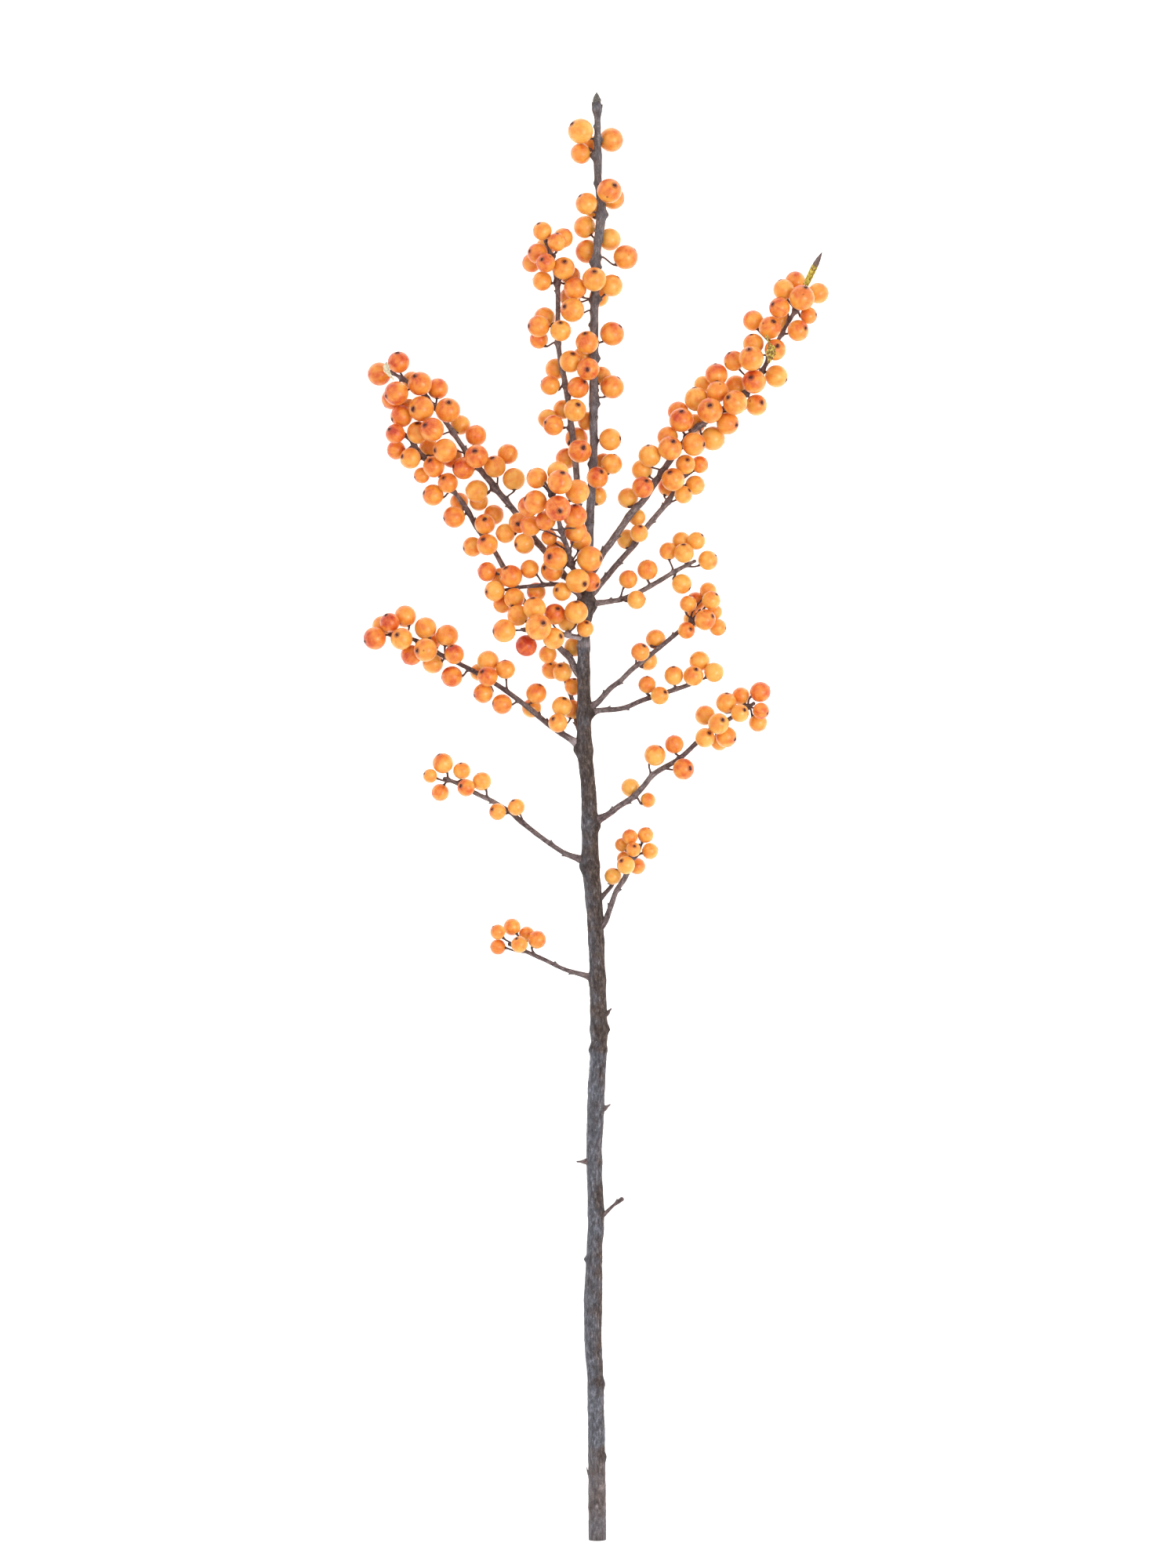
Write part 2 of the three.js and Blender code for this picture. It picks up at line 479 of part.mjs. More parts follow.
// Berries start where they are drawn and then give way to each other, to the wood and to the
// surface below, mostly up or down, until every one has room.
function settle(berries, obstacles) {
  for (let step = 0; step < SETTLE_STEPS; step += 1) {
    for (let i = 0; i < berries.length; i += 1) {
      const berry = berries[i];
      for (let j = i + 1; j < berries.length; j += 1) {
        const other = berries[j];
        const needed = berry.radius + other.radius + GAP * 1.2;
        const offset = other.centre.clone().sub(berry.centre);
        const overlap = needed - offset.length();
        if (overlap > 0) {
          offset.multiply(new THREE.Vector3(SIDEWAYS_SHARE, SIDEWAYS_SHARE, 1));
          offset.setLength(overlap / 2);
          berry.centre.sub(offset);
          other.centre.add(offset);
        }
      }
      for (const wood of obstacles) {
        const place = nearestOn(wood, berry.centre);
        const needed = berry.radius + place.radius + 2 * GAP + SLEEVE_WALL;
        const overlap = needed - place.away;
        if (overlap > 0) {
          const offset = berry.centre.clone().sub(place.centre);
          berry.centre.addScaledVector(offset.normalize(), overlap);
        }
      }
      berry.centre.z = Math.max(berry.centre.z, berry.radius);
    }
  }
}

// A straight stalk is clear when it passes no other berry and no other wood.
function crossings(stalk, berry, berries, obstacles) {
  const nearest = new THREE.Vector3();
  const inBerries = berries.filter((other) => {
    stalk.closestPointToPoint(other.centre, true, nearest);
    return other !== berry && nearest.distanceTo(other.centre) < other.radius + GAP + STALK_RADIUS;
  });
  const samples = [0.2, 0.5, 0.8].map((share) => stalk.at(share, new THREE.Vector3()));
  const inWood = obstacles.filter((wood) => {
    return wood !== berry.wood && samples.some((sample) => {
      const place = nearestOn(wood, sample);
      return place.away < place.radius + SLEEVE_WALL + 2 * GAP + STALK_RADIUS;
    });
  });
  return inBerries.length + inWood.length;
}

// Where a stalk leaves the bark: on the side of the twig that faces the berry.
function stalkFoot(berry, distance) {
  const { centre, radius } = pointAlong(berry.wood, distance);
  const along = pointAlong(berry.wood, distance - GAP).centre.sub(centre).normalize();
  const towards = berry.centre.clone().sub(centre);
  towards.addScaledVector(along, -towards.dot(along));
  const innerCorner = radius + GAP;
  const outerFlat = (innerCorner + SLEEVE_WALL) * Math.cos(Math.PI / berry.wood.sides);
  return centre.add(towards.setLength((innerCorner + outerFlat) / 2));
}

// Each berry hangs from the leaf joint that is nearest with a clear way to it.
function chooseJoint(berry, berries, obstacles) {
  const place = nearestOn(berry.wood, berry.centre);
  const highest = Math.floor((berry.wood.length - SLEEVE_MARGIN / 2) / JOINT_SPACING);
  const lowest = Math.ceil((berry.wood.start + SLEEVE_MARGIN) / JOINT_SPACING);
  const options = [];
  for (let joint = lowest; joint <= highest; joint += 1) {
    const foot = stalkFoot(berry, joint * JOINT_SPACING);
    const stalk = new THREE.Line3(foot, berry.centre);
    const away = Math.abs(joint * JOINT_SPACING - place.distance);
    if (away < 3.2 * JOINT_SPACING) {
      const cost = away + 100 * crossings(stalk, berry, berries, obstacles);
      options.push({ joint, foot, cost });
    }
  }
  options.sort((a, b) => a.cost - b.cost);
  return options[0];
}

function stalkGeometry(berry) {
  const inside = (0.35 * berry.radius) / berry.centre.distanceTo(berry.foot);
  const reach = berry.centre.clone().lerp(berry.foot, inside);
  const points = [berry.foot, reach];
  const radii = [STALK_RADIUS, STALK_RADIUS];
  return skin(points, ringsAlong(points, radii, radii, STALK_SIDES));
}

function berryGeometry(berry) {
  const ball = new THREE.OctahedronGeometry(berry.radius, 1);
  ball.translate(berry.centre.x, berry.centre.y, berry.centre.z);
  return ball;
}

// The berries of a twig, joint by joint, as bunches of a handy size.
function bunchesOf(wood, berries) {
  const own = berries.filter((berry) => berry.wood === wood).sort((a, b) => a.joint - b.joint);
  const bunches = [];
  for (const berry of own) {
    const bunch = bunches[bunches.length - 1];
    const before = bunch?.[bunch.length - 1];
    const full = bunch?.length >= BERRIES_PER_BUNCH && berry.joint > before.joint;
    const bare = before && (berry.joint - before.joint) * JOINT_SPACING > LONGEST_BARE_STRETCH;
    if (!bunch || full || bare) {
      bunches.push([berry]);
    } else {
      bunch.push(berry);
    }
  }
  return bunches;
}

function bunchGeometry(wood, bunch) {
  const from = bunch[0].joint * JOINT_SPACING - SLEEVE_MARGIN;
  const to = Math.min(bunch[bunch.length - 1].joint * JOINT_SPACING + SLEEVE_MARGIN, wood.length);
  const bark = toSolid(woodGeometry(wood, GAP + SLEEVE_WALL, from, to));
  const bore = toSolid(woodGeometry(wood, GAP, wood.start, wood.length + GAP));
  let solid = bark.subtract(bore);
  for (const berry of bunch) {
    solid = solid.add(toSolid(stalkGeometry(berry))).add(toSolid(berryGeometry(berry)));
  }
  return toGeometry(solid);
}

function leafGeometry(leaf) {
  const curve = new THREE.CatmullRomCurve3(leaf.route.map(vector));
  const shares = [0, 0.2, 0.5, 0.8, 1];
  const points = shares.map((share) => curve.getPoint(share));
  const breadth = shares.map((share) => Math.max(Math.sin(Math.PI * share), LEAF_TIP));
  const widths = breadth.map((part) => (part * leaf.width) / 2);
  const depths = breadth.map((part) => (part * leaf.thick) / 2);
  return skin(points, ringsAlong(points, widths, depths, WOOD_SIDES));
}

function piece(name, geometry, look) {
  geometry.computeVertexNormals();
  const mesh = new THREE.Mesh(geometry, new THREE.MeshStandardMaterial({ ...look, metalness: 0 }));
  mesh.name = name;
  return mesh;
}

const stem = makeWood(STEM);
const twigs = TWIGS.map(makeWood);
const allWood = [stem, ...twigs];
for (const twig of twigs) {
  twig.start = clearOfParent(twig, stem);
}

const berries = [STEM, ...TWIGS].flatMap((spec, i) => spec.berries.map(([right, up, lift, diameter]) => {
  const wood = allWood[i];
  const flat = new THREE.Vector3(right, up, nearestOn(wood, new THREE.Vector3(right, up, 0)).centre.z);
  const height = nearestOn(wood, flat).centre.z + lift;
  return { wood, radius: diameter / 2, centre: new THREE.Vector3(right, up, height) };
}));
settle(berries, allWood);
for (const berry of berries) {
  Object.assign(berry, chooseJoint(berry, berries, allWood));
}

const group = new THREE.Group();
group.add(piece(stem.name, woodGeometry(stem, 0, 0, stem.length), COLOURS.bark));
for (const twig of twigs) {
  group.add(piece(twig.name, woodGeometry(twig, 0, twig.start, twig.length), COLOURS.twig));
}
for (const wood of allWood) {
  bunchesOf(wood, berries).forEach((bunch, i) => {
    group.add(piece(`berries_${wood.name}_${i + 1}`, bunchGeometry(wood, bunch), COLOURS.berry));
  });
}
for (const leaf of LEAVES) {
  group.add(piece(leaf.name, leafGeometry(leaf), COLOURS.dryLeaf));
}

// The origin is under the middle of the sprig, on the surface that it lies on.
const box = new THREE.Box3().setFromObject(group);
const middle = box.getCenter(new THREE.Vector3());
group.position.set(-middle.x, -middle.y, -box.min.z);

export default group;
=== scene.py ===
"""Cut sprig of winterberry holly, lying on a pale table and seen from straight above.

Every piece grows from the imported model: the wood follows its centre lines, and each berry sits where
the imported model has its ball. Lengths in the tables are millimetres; the scene itself is in metres.
"""
import math

import bpy
import numpy as np
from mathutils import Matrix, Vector, noise


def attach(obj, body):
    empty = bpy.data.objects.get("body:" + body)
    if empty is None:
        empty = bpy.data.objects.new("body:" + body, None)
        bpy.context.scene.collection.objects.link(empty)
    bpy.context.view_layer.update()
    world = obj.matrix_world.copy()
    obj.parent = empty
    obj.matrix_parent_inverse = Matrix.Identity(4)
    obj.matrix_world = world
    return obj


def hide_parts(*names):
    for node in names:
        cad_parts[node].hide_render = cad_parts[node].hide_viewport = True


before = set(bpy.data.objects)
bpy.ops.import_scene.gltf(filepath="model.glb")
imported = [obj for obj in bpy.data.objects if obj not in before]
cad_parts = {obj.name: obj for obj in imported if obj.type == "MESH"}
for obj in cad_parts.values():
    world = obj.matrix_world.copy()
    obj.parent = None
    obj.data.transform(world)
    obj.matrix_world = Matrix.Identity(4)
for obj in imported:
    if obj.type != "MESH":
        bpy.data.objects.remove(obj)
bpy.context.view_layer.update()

MM = 0.001
rng = np.random.default_rng(41)

# ---------------------------------------------------------------- sizes, in millimetres
STEM = "main_stem"
STEM_STEP = 0.8  # between rings of the stem's skin
BUTT_EXTRA = 1.2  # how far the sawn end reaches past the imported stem's line
TWIG_STEP = 0.55
STEM_SIDES = 44
TWIG_FULLNESS, BRANCH_FULLNESS = 1.15, 1.02  # bark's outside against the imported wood
TWIG_SIDES = 20
COLLAR_REACH = 1.6  # how far a twig's flared foot reaches along it
COLLAR_HEIGHT, COLLAR_WIDTH = 0.45, 1.5  # the stem's swelling round a twig's foot, against its radius
FOOT_BACK = 1.5  # how far back a twig's hidden start meets its parent's middle, against its distance from it
HIDDEN_SHARE = 0.65  # how thick that start is, against the twig
FOOT_FLARE = 0.6  # how much thicker the foot of a twig square to the stem is
# The rounded tip of a twig: [beyond its last point, share of the radius there]
TWIG_TIP = [(0.3, 1.08), (0.6, 0.9), (0.85, 0.55), (1.0, 0.15)]
STEM_BUD_SIZE, TWIG_BUD_SIZE = (1.9, 0.7), (1.3, 0.42)  # length and half width
JOINT_SPACING = 6.0
FLOOR_GAP = 0.02  # nothing reaches lower than this
STALK_RADIUS, LEAF_STALK_RADIUS = 0.36, 0.28
BERRY_KNOB = 0.32  # height of the knob a berry's stalk grows from
STALK_SIDES = 8
BERRY_FULLNESS = 1.02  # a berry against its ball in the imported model
BERRY_TURNS = 28

# Camera: straight above, from a long way off, as a long lens would have it.
CAMERA_HEIGHT = 2600.0
SHARP_HEIGHT = 15.0  # the height above the table whose scale the lens is set for
FRAME_HEIGHT = 650.0
FRAME_CENTRE = (-3.9, 313.5)  # right of and up from the middle of the cut end
SENSOR = 36.0

# Light: a white lit table under white studio light from all round, and two softboxes.
TABLE_GLOW = 0.7
SKY = 0.88
KEY_POWER, FILL_POWER = 11.5, 3.0


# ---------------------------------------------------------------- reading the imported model
ROUNDING = 0.004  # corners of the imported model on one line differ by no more
SMALLEST_BALL, LARGEST_BALL = 2.5, 6.0


def corners_of(node):
    """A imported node's corners without repeats in millimetres, and each corner's neighbours."""
    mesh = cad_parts[node].data
    every = np.zeros(len(mesh.vertices) * 3)
    mesh.vertices.foreach_get("co", every)
    places, index = np.unique(np.round(every.reshape(-1, 3) / MM, 3), axis=0, return_inverse=True)
    index = index.ravel()
    ends = np.zeros(len(mesh.edges) * 2, int)
    mesh.edges.foreach_get("vertices", ends)
    near = [set() for _ in places]
    for a, b in index[ends].reshape(-1, 2):
        if a != b:
            near[a].add(b)
            near[b].add(a)
    return places, near


def rings_of(node):
    """The rings of a packed lofted piece, from one end cap to the other."""
    places, near = corners_of(node)
    caps = [i for i, others in enumerate(near) if all(len(near[j]) == 5 for j in others)]
    level, seen, rings = {caps[0]}, {caps[0]}, []
    while level:
        rings.append(places[sorted(level)])
        level = set().union(*(near[i] for i in level)) - seen
        seen |= level
    return rings[1:-1]


def centre_line(node):
    """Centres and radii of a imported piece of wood's rings."""
    rings = rings_of(node)
    centres = np.array([ring.mean(axis=0) for ring in rings])
    radii = [np.linalg.norm(ring - centre, axis=1).mean() for ring, centre in zip(rings, centres)]
    return centres, np.array(radii)


def balls_of(node):
    """Centre and radius of each ball in a packed bunch, found by its six poles."""
    places, _ = corners_of(node)
    found = []
    for axis in range(3):
        others = [k for k in range(3) if k != axis]
        order = np.lexsort((places[:, axis], places[:, others[1]], places[:, others[0]]))
        for i, low in enumerate(order):
            for high in order[i + 1:i + 6]:
                if np.abs(places[low, others] - places[high, others]).max() > ROUNDING:
                    break
                radius = (places[high, axis] - places[low, axis]) / 2
                if not SMALLEST_BALL < radius < LARGEST_BALL:
                    continue
                centre = (places[low] + places[high]) / 2
                poles = np.vstack([centre + radius * np.eye(3), centre - radius * np.eye(3)])
                gaps = np.linalg.norm(places[None] - poles[:, None], axis=2).min(axis=1)
                if (gaps < 0.01).sum() >= 5:
                    found.append((*centre, radius))
    kept = []
    for ball in found:
        if all(np.linalg.norm(np.subtract(ball, other)) > 0.5 for other in kept):
            kept.append(ball)
    return kept


# ---------------------------------------------------------------- lines and frames
def unit(v):
    return v / np.maximum(np.linalg.norm(v, axis=-1, keepdims=True), 1e-9)


def smooth_line(points, radii, step):
    """A smooth line through points, with its radius, in steps of about that length."""
    ends = np.vstack([2 * points[0] - points[1], points, 2 * points[-1] - points[-2]])
    line, width = [], []
    for i in range(len(points) - 1):
        a, b, c, d = ends[i:i + 4]
        count = max(int(round(np.linalg.norm(c - b) / step)), 1)
        for t in np.arange(count) / count:
            line.append(0.5 * (2 * b + (c - a) * t + (2 * a - 5 * b + 4 * c - d) * t ** 2
                               + (3 * b - a - 3 * c + d) * t ** 3))
            ease = t * t * (3 - 2 * t)
            width.append(radii[i] * (1 - ease) + radii[i + 1] * ease)
    return np.vstack([line, points[-1]]), np.append(width, radii[-1])


def lengths(points):
    return np.append(0, np.cumsum(np.linalg.norm(np.diff(points, axis=0), axis=1)))


def carried_frames(points):
    """Along a line: its direction, and two square to it that never twist."""
    along = unit(np.gradient(points, axis=0))
    across = np.zeros_like(along)
    last = unit(np.cross(along[0], [0, 0, 1.0]))
    for i, direction in enumerate(along):
        last = unit(last - direction * last.dot(direction))
        across[i] = last
    return along, across, np.cross(across, along)


def read(table, places):
    """A table's values at places between its rows."""
    return np.interp(places, *np.array(table).T)


def square_to(axis):
    side = unit(np.cross(axis, [0.3, -0.2, 1.0]))
    return side, np.cross(axis, side)


def roughly(points, size, seed=0.0):
    """Soft noise from -1 to 1 at each point, in patches of about that size."""
    shifted = (np.asarray(points) + seed * 17.3) / size
    return np.array([noise.noise(Vector(p)) for p in shifted])


# ---------------------------------------------------------------- making pieces
def new_object(name, data):
    thing = bpy.data.objects.new(name, data)
    bpy.context.scene.collection.objects.link(thing)
    return thing


class Skin:
    """Gathers the points and faces of one piece, with values that its materials read."""

    def __init__(self):
        self.points, self.faces, self.finishes, self.values = [], [], [], {}
        self.count = 0

    def add(self, points, faces, finish=0, **values):
        self.points.append(np.asarray(points))
        self.faces += [tuple(int(i) + self.count for i in face) for face in faces]
        self.finishes += np.broadcast_to(finish, len(faces)).tolist()
        for name, value in values.items():
            full = np.broadcast_to(np.asarray(value, float), (len(points), 3))
            self.values.setdefault(name, []).append(full)
        self.count += len(points)

    def wrap(self, rings, finish=0, grown=None, **values):
        """Adds a loft over rings; its pattern coordinates are its own points unless they are given."""
        points, faces = loft(rings)
        self.add(points, faces, finish, grown=points if grown is None else grown, **values)

    def piece(self, name, materials, slot, *nodes):
        mesh = bpy.data.meshes.new(name)
        mesh.from_pydata((np.vstack(self.points) * MM).tolist(), [], self.faces)
        mesh.polygons.foreach_set("use_smooth", [True] * len(self.faces))
        mesh.polygons.foreach_set("material_index", self.finishes)
        for title, parts in self.values.items():
            layer = mesh.attributes.new(title, "FLOAT_VECTOR", "POINT")
            layer.data.foreach_set("vector", np.vstack(parts).ravel())
        for material in materials:
            mesh.materials.append(material)
        mesh.update()
        piece = new_object(name, mesh)
        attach(piece, "root")
        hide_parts(*nodes)


def walls(count, sides, flipped=False):
    """Faces between rings of equal size, whose points follow each other."""
    faces = []
    for level in range(0, (count - 1) * sides, sides):
        for i in range(sides):
            j = (i + 1) % sides
            near, far = (j, i) if flipped else (i, j)
            faces.append((level + near, level + far, level + sides + far, level + sides + near))
    return faces


def loft(rings):
    """Points and faces of a skin over rings of equal size, closed by a middle point at each end."""
    count, sides = rings.shape[:2]
    points = np.vstack([rings.reshape(-1, 3), rings[0].mean(axis=0), rings[-1].mean(axis=0)])
    faces = walls(count, sides)
    last = (count - 1) * sides
    for i in range(sides):
        j = (i + 1) % sides
        faces.append((j, i, count * sides))
        faces.append((last + i, last + j, count * sides + 1))
    return points, faces


def with_ends(grid, last=0):
    """The values of a grid of rings, and one for the middle point that closes each end of its loft."""
    return np.vstack([grid.reshape(-1, 3), grid[0, 0], grid[-1, last]])


def curve(start, first, second, end, count):
    """Points on a curve that leaves its start towards one place and comes to its end from another."""
    share = np.linspace(0, 1, count)[:, None]
    return ((1 - share) ** 3 * start + 3 * share * (1 - share) ** 2 * first
            + 3 * share ** 2 * (1 - share) * second + share ** 3 * end)


def ring_angles(sides):
    return np.arange(sides) * 2 * math.pi / sides


def tube(points, radii, sides):
    """Rings round a line."""
    _, across, outward = carried_frames(points)
    angles = ring_angles(sides)
    spokes = (across[:, None] * np.cos(angles)[None, :, None]
              + outward[:, None] * np.sin(angles)[None, :, None])
    return points[:, None] + spokes * np.asarray(radii)[:, None, None], spokes


# ---------------------------------------------------------------- the wood
# The bark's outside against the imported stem's radius: [up the stem, share]
STEM_FULLNESS = [
    (0, 1.04), (62, 1.04), (80, 1.14), (99, 1.26), (118, 1.14), (150, 1.04), (165, 1.06), (177, 1.16),
    (197, 1.18), (216, 1.14), (240, 1.06), (265, 1.06), (290, 1.22), (300, 1.22), (313, 1.14), (345, 1.04),
    (360, 0.99), (375, 0.95), (384, 0.9), (392, 1.0), (400, 1.04), (456, 1.08), (472, 1.25), (490, 1.15),
    (530, 1.1), (545, 1.2), (556, 1.05), (563, 1.15), (570, 1.4), (578, 1.3), (586, 1.15), (600, 1.05),
]
THICK_ONES = ("branch_", "front_spray_")  # how the names of the thicker side wood start


class Wood:
    """One piece of wood: its line, radii and the berries it carries."""

    def __init__(self, name, parent=None):
        self.name = name
        centres, radii = centre_line(name)
        ends = [centres[0], centres[-1]]
        if parent is None:
            backwards = ends[0][1] > ends[1][1]
        else:
            away = [parent.gaps(end).min() for end in ends]
            backwards = away[0] > away[1]
        if backwards:
            centres, radii = centres[::-1], radii[::-1]
        step = STEM_STEP if parent is None else TWIG_STEP
        self.points, self.radii = smooth_line(centres, radii, step)
        if parent is None:
            level = self.points[:, 1] - self.points[0, 1]
            self.radii = self.radii * read(STEM_FULLNESS, level)
        else:
            thick = name.startswith(THICK_ONES)
            self.radii = self.radii * (BRANCH_FULLNESS if thick else TWIG_FULLNESS)
        self.walk = lengths(self.points)
        self.knobs = []

    def gaps(self, place):
        """How far each of its points is from a place."""
        return np.linalg.norm(self.points - place, axis=1)

    def at(self, walk):
        return np.array([np.interp(walk, self.walk, self.points[:, k]) for k in range(3)])

    def nearest(self, point):
        return self.walk[self.gaps(point).argmin()]


stem = Wood(STEM)
wood_names = [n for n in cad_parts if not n.startswith(("berries_", "dry_leaf_"))]
twigs = [Wood(name, stem) for name in wood_names if name != STEM]
woods = {wood.name: wood for wood in [stem, *twigs]}
bunches = {}
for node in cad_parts:
    if node.startswith("berries_"):
        owner = woods[node[len("berries_"):].rsplit("_", 1)[0]]
        bunches[node] = [{"centre": np.array(ball[:3]), "radius": ball[3], "wood": owner}
                         for ball in balls_of(node)]
every_berry = [berry for bunch in bunches.values() for berry in bunch]
all_centres = np.array([berry["centre"] for berry in every_berry])
all_radii = np.array([berry["radius"] for berry in every_berry])


JOINT_WAVER = 0.8  # leaf joints are not quite evenly spaced
JOINT_REACH = 3 * JOINT_SPACING  # no stalk starts further along the wood than this from its berry
STALK_RISE = 2.5  # a berry likes to sit this far above its joint
CLEAR_WAY = 0.2  # a stalk that passes another berry closer than this is blocked by it
BLOCKED_COST = 12  # and then a joint this many millimetres further off is as good


def choose_foot(berry):
    """The leaf joint that a berry's stalk grows from: near, a little below it, with a clear way."""
    wood = berry["wood"]
    level = wood.nearest(berry["centre"])
    best = (math.inf, None)
    for joint in range(1, int(wood.walk[-1] / JOINT_SPACING) + 1):
        walk = min(joint * JOINT_SPACING + JOINT_WAVER * math.sin(joint * 2.1), wood.walk[-1] - 0.6)
        if abs(walk - level) > JOINT_REACH:
            continue
        foot = wood.at(walk)
        way = berry["centre"] - foot
        share = np.clip(((all_centres - foot) @ way) / (way @ way), 0, 1)
        gap = np.linalg.norm(foot + share[:, None] * way - all_centres, axis=1) - all_radii
        blocked = (gap < CLEAR_WAY).sum() - 1
        best = min(best, (abs(walk - (level - STALK_RISE)) + BLOCKED_COST * blocked, walk))
    berry["walk"] = best[1]
    berry["foot"] = wood.at(best[1])


# Where the end buttons of the berries in front face: [the berry's place right of
# and up from the cut end, how far right of and above the berry's middle the button sits, in radii]
BUTTON_FACING = [
    (-17, 407, -0.5, 0.1), (-3, 407, 0.9, 0.0), (-19, 402, -0.7, 0.2), (-8, 397, 0.6, -0.3),
    (-9, 384, 0.0, 0.9), (-17, 384, 0.3, 0.5), (-5, 378, 0.2, 0.7), (-24, 378, 0.4, 0.3),
    (-18, 373, 0.7, 0.2), (85, 515, 0.3, 0.8), (76, 511, -0.7, 0.3), (72, 503, 0.3, 0.5),
    (83, 502, 0.7, 0.2), (64, 489, -0.2, 0.7), (65, 480, -0.3, 0.3), (66, 471, 0.5, 0.2),
    (57, 471, -0.6, 0.4),
]
# A stalk joins its berry opposite the button, unless that turns it further than this from its foot
NEAREST_HOLD = 0.3
LOWEST_FACING = -0.25  # no other button faces further down to the table than this
LEAN_ALONG, LEAN_CHANCE = 0.3, 0.22  # how far the others lean along their wood, and by chance
# Berries coloured clearly redder than the rest: [right of, up from the cut end, how much redder]
RED_BERRIES = [
    (-29, 371, 1.3), (82, 524, 1.0), (88, 508, 1.0), (-85, 381, 0.5), (-82, 459, 0.5), (67, 351, 0.5),
    (68, 344, 0.5), (-92, 374, 0.4), (-84, 488, 0.3),
]
RIPER_LEFT, RIPER_UP = 0.002, 0.0003  # how much redder for every millimetre to the left, and up
THICK_KNOB = 1.6  # how much larger a stalk's knob is on thick wood


def front_berry(right, up):
    """The berry at a place right of and up from the cut end; of two there, rather the one in front."""
    away = np.linalg.norm(all_centres[:, :2] - stem.points[0][:2] - [right, up], axis=1)
    return every_berry[int((away - 0.05 * all_centres[:, 2]).argmin())]


def hang(berry):
    """Settles a berry's stalk, the way its button faces, how red it is, and its stalk's knob."""
    choose_foot(berry)
    wood = berry["wood"]
    along = unit(wood.at(berry["walk"] + 1) - wood.at(berry["walk"] - 1))
    away = berry["centre"] - berry["foot"]
    lean = unit(unit(away) + LEAN_ALONG * along + LEAN_CHANCE * rng.normal(size=3))
    lean[2] = max(lean[2], LOWEST_FACING)
    berry["axis"] = unit(berry.get("facing", lean))
    towards = unit(berry["foot"] - berry["centre"])
    short = max(NEAREST_HOLD + towards.dot(berry["axis"]), 0)
    berry["hold"] = unit(1.5 * short * towards - berry["axis"])
    place = (berry["centre"] - stem.points[0])[:2]
    berry["red"] = berry.get("redder", 0) - RIPER_LEFT * place[0] + RIPER_UP * (place[1] - 400)
    berry["along"] = along
    berry["chance"] = rng.random(3)
    side = away - along * away.dot(along)
    size = BERRY_KNOB * (THICK_KNOB if wood.name.startswith((*THICK_ONES, STEM)) else 1)
    wood.knobs.append((berry["walk"], unit(side), size, 2.0 * size + 0.2))


for right, up, dx, dy in BUTTON_FACING:
    front_berry(right, up)["facing"] = np.array([dx, dy, math.sqrt(1 - dx * dx - dy * dy)])
for right, up, more in RED_BERRIES:
    front_berry(right, up)["redder"] = more
for berry in every_berry:
    hang(berry)


# Full-ring swellings of the stem: [up the stem, height, reach]
STEM_RINGS = [
    (204.5, 0.4, 1.6), (213.0, 0.25, 2.0), (232.5, 0.3, 2.2), (249.0, 0.25, 2.0), (281.0, 0.35, 2.4),
    (297.0, 0.25, 2.2), (328.5, 0.45, 2.6), (343.5, 0.35, 2.6), (361.0, 0.25, 2.0), (371.5, 0.35, 2.0),
    (386.0, 0.55, 2.6), (391.5, 0.45, 2.0), (397.0, 0.4, 2.0), (551.0, 0.15, 2.0), (531.0, 0.2, 2.0),
    (587.5, 0.15, 2.0), (594.6, 0.6, 2.4),
]
# Knobs of the stem: [up the stem, way it faces (0 right, 90 up off the table, 180 left), height, width]
STEM_KNOBS = [
    (14.0, 92, 0.35, 1.3), (27.8, 176, 0.4, 0.9), (34.5, 3, 0.55, 1.5), (65.0, 8, 0.6, 1.8),
    (117.0, 178, 0.9, 1.2), (139.0, 40, 0.4, 1.4), (165.0, 120, 0.35, 1.2), (213.0, 12, 0.9, 1.6),
    (204.0, 165, 0.5, 2.0),
    (280.5, 172, 0.9, 2.2), (297.0, 10, 0.8, 1.8), (329.0, 170, 1.0, 2.2), (344.0, 8, 1.0, 2.0),
    (386.5, 200, 0.9, 2.0), (389.0, 20, 0.9, 2.0), (393.0, 100, 0.9, 1.8), (399.0, 60, 0.7, 1.6),
    (447.0, 190, 0.8, 1.2), (472.0, 10, 1.0, 1.2), (491.0, 8, 1.0, 1.3), (505.0, 185, 0.8, 1.1),
    (516.0, 12, 1.0, 1.2), (531.0, 182, 1.0, 1.5), (529.0, 5, 0.9, 1.2), (551.0, 0, 0.8, 1.3),
    (564.0, 190, 0.6, 1.0), (575.0, 182, 1.2, 1.4), (582.0, 8, 0.5, 1.0),
]
STEM_SPUR = (27.8, 176, 3.2, 0.3)  # an old upright spur: [up the stem, way it faces, length, half width]
STEM_KNOT = (14.0, 92, 1.5)  # a healed knot, dark round a pale middle: [up the stem, way it faces, reach]
# How grey the stem's bark is on the way up, from brown 0 to pale waxy grey 1
STEM_GREY = [
    (0, 0.6), (8, 0.5), (12, 0.2), (32, 0.25), (38, 0.5), (41, 1.0), (57, 0.95), (64, 0.65), (86, 0.6),
    (120, 0.6), (150, 0.6), (160, 0.8), (186, 0.85), (190, 0.8), (203, 0.85), (205, 0.1), (230, 0.12),
    (290, 0.25), (330, 0.15), (345, 0.15), (368, 0.2), (370, 0.7), (374, 0.7), (376, 0.3), (400, 0.3),
    (410, 0.4), (440, 0.4), (520, 0.4), (588, 0.35), (596, 0.5), (600, 0.8),
]
# How much greyer the stem is on its left than in the middle, on the way up
GREY_SIDE = [(0, 0.12), (34, 0.15), (42, 0.45), (380, 0.45), (400, 0)]
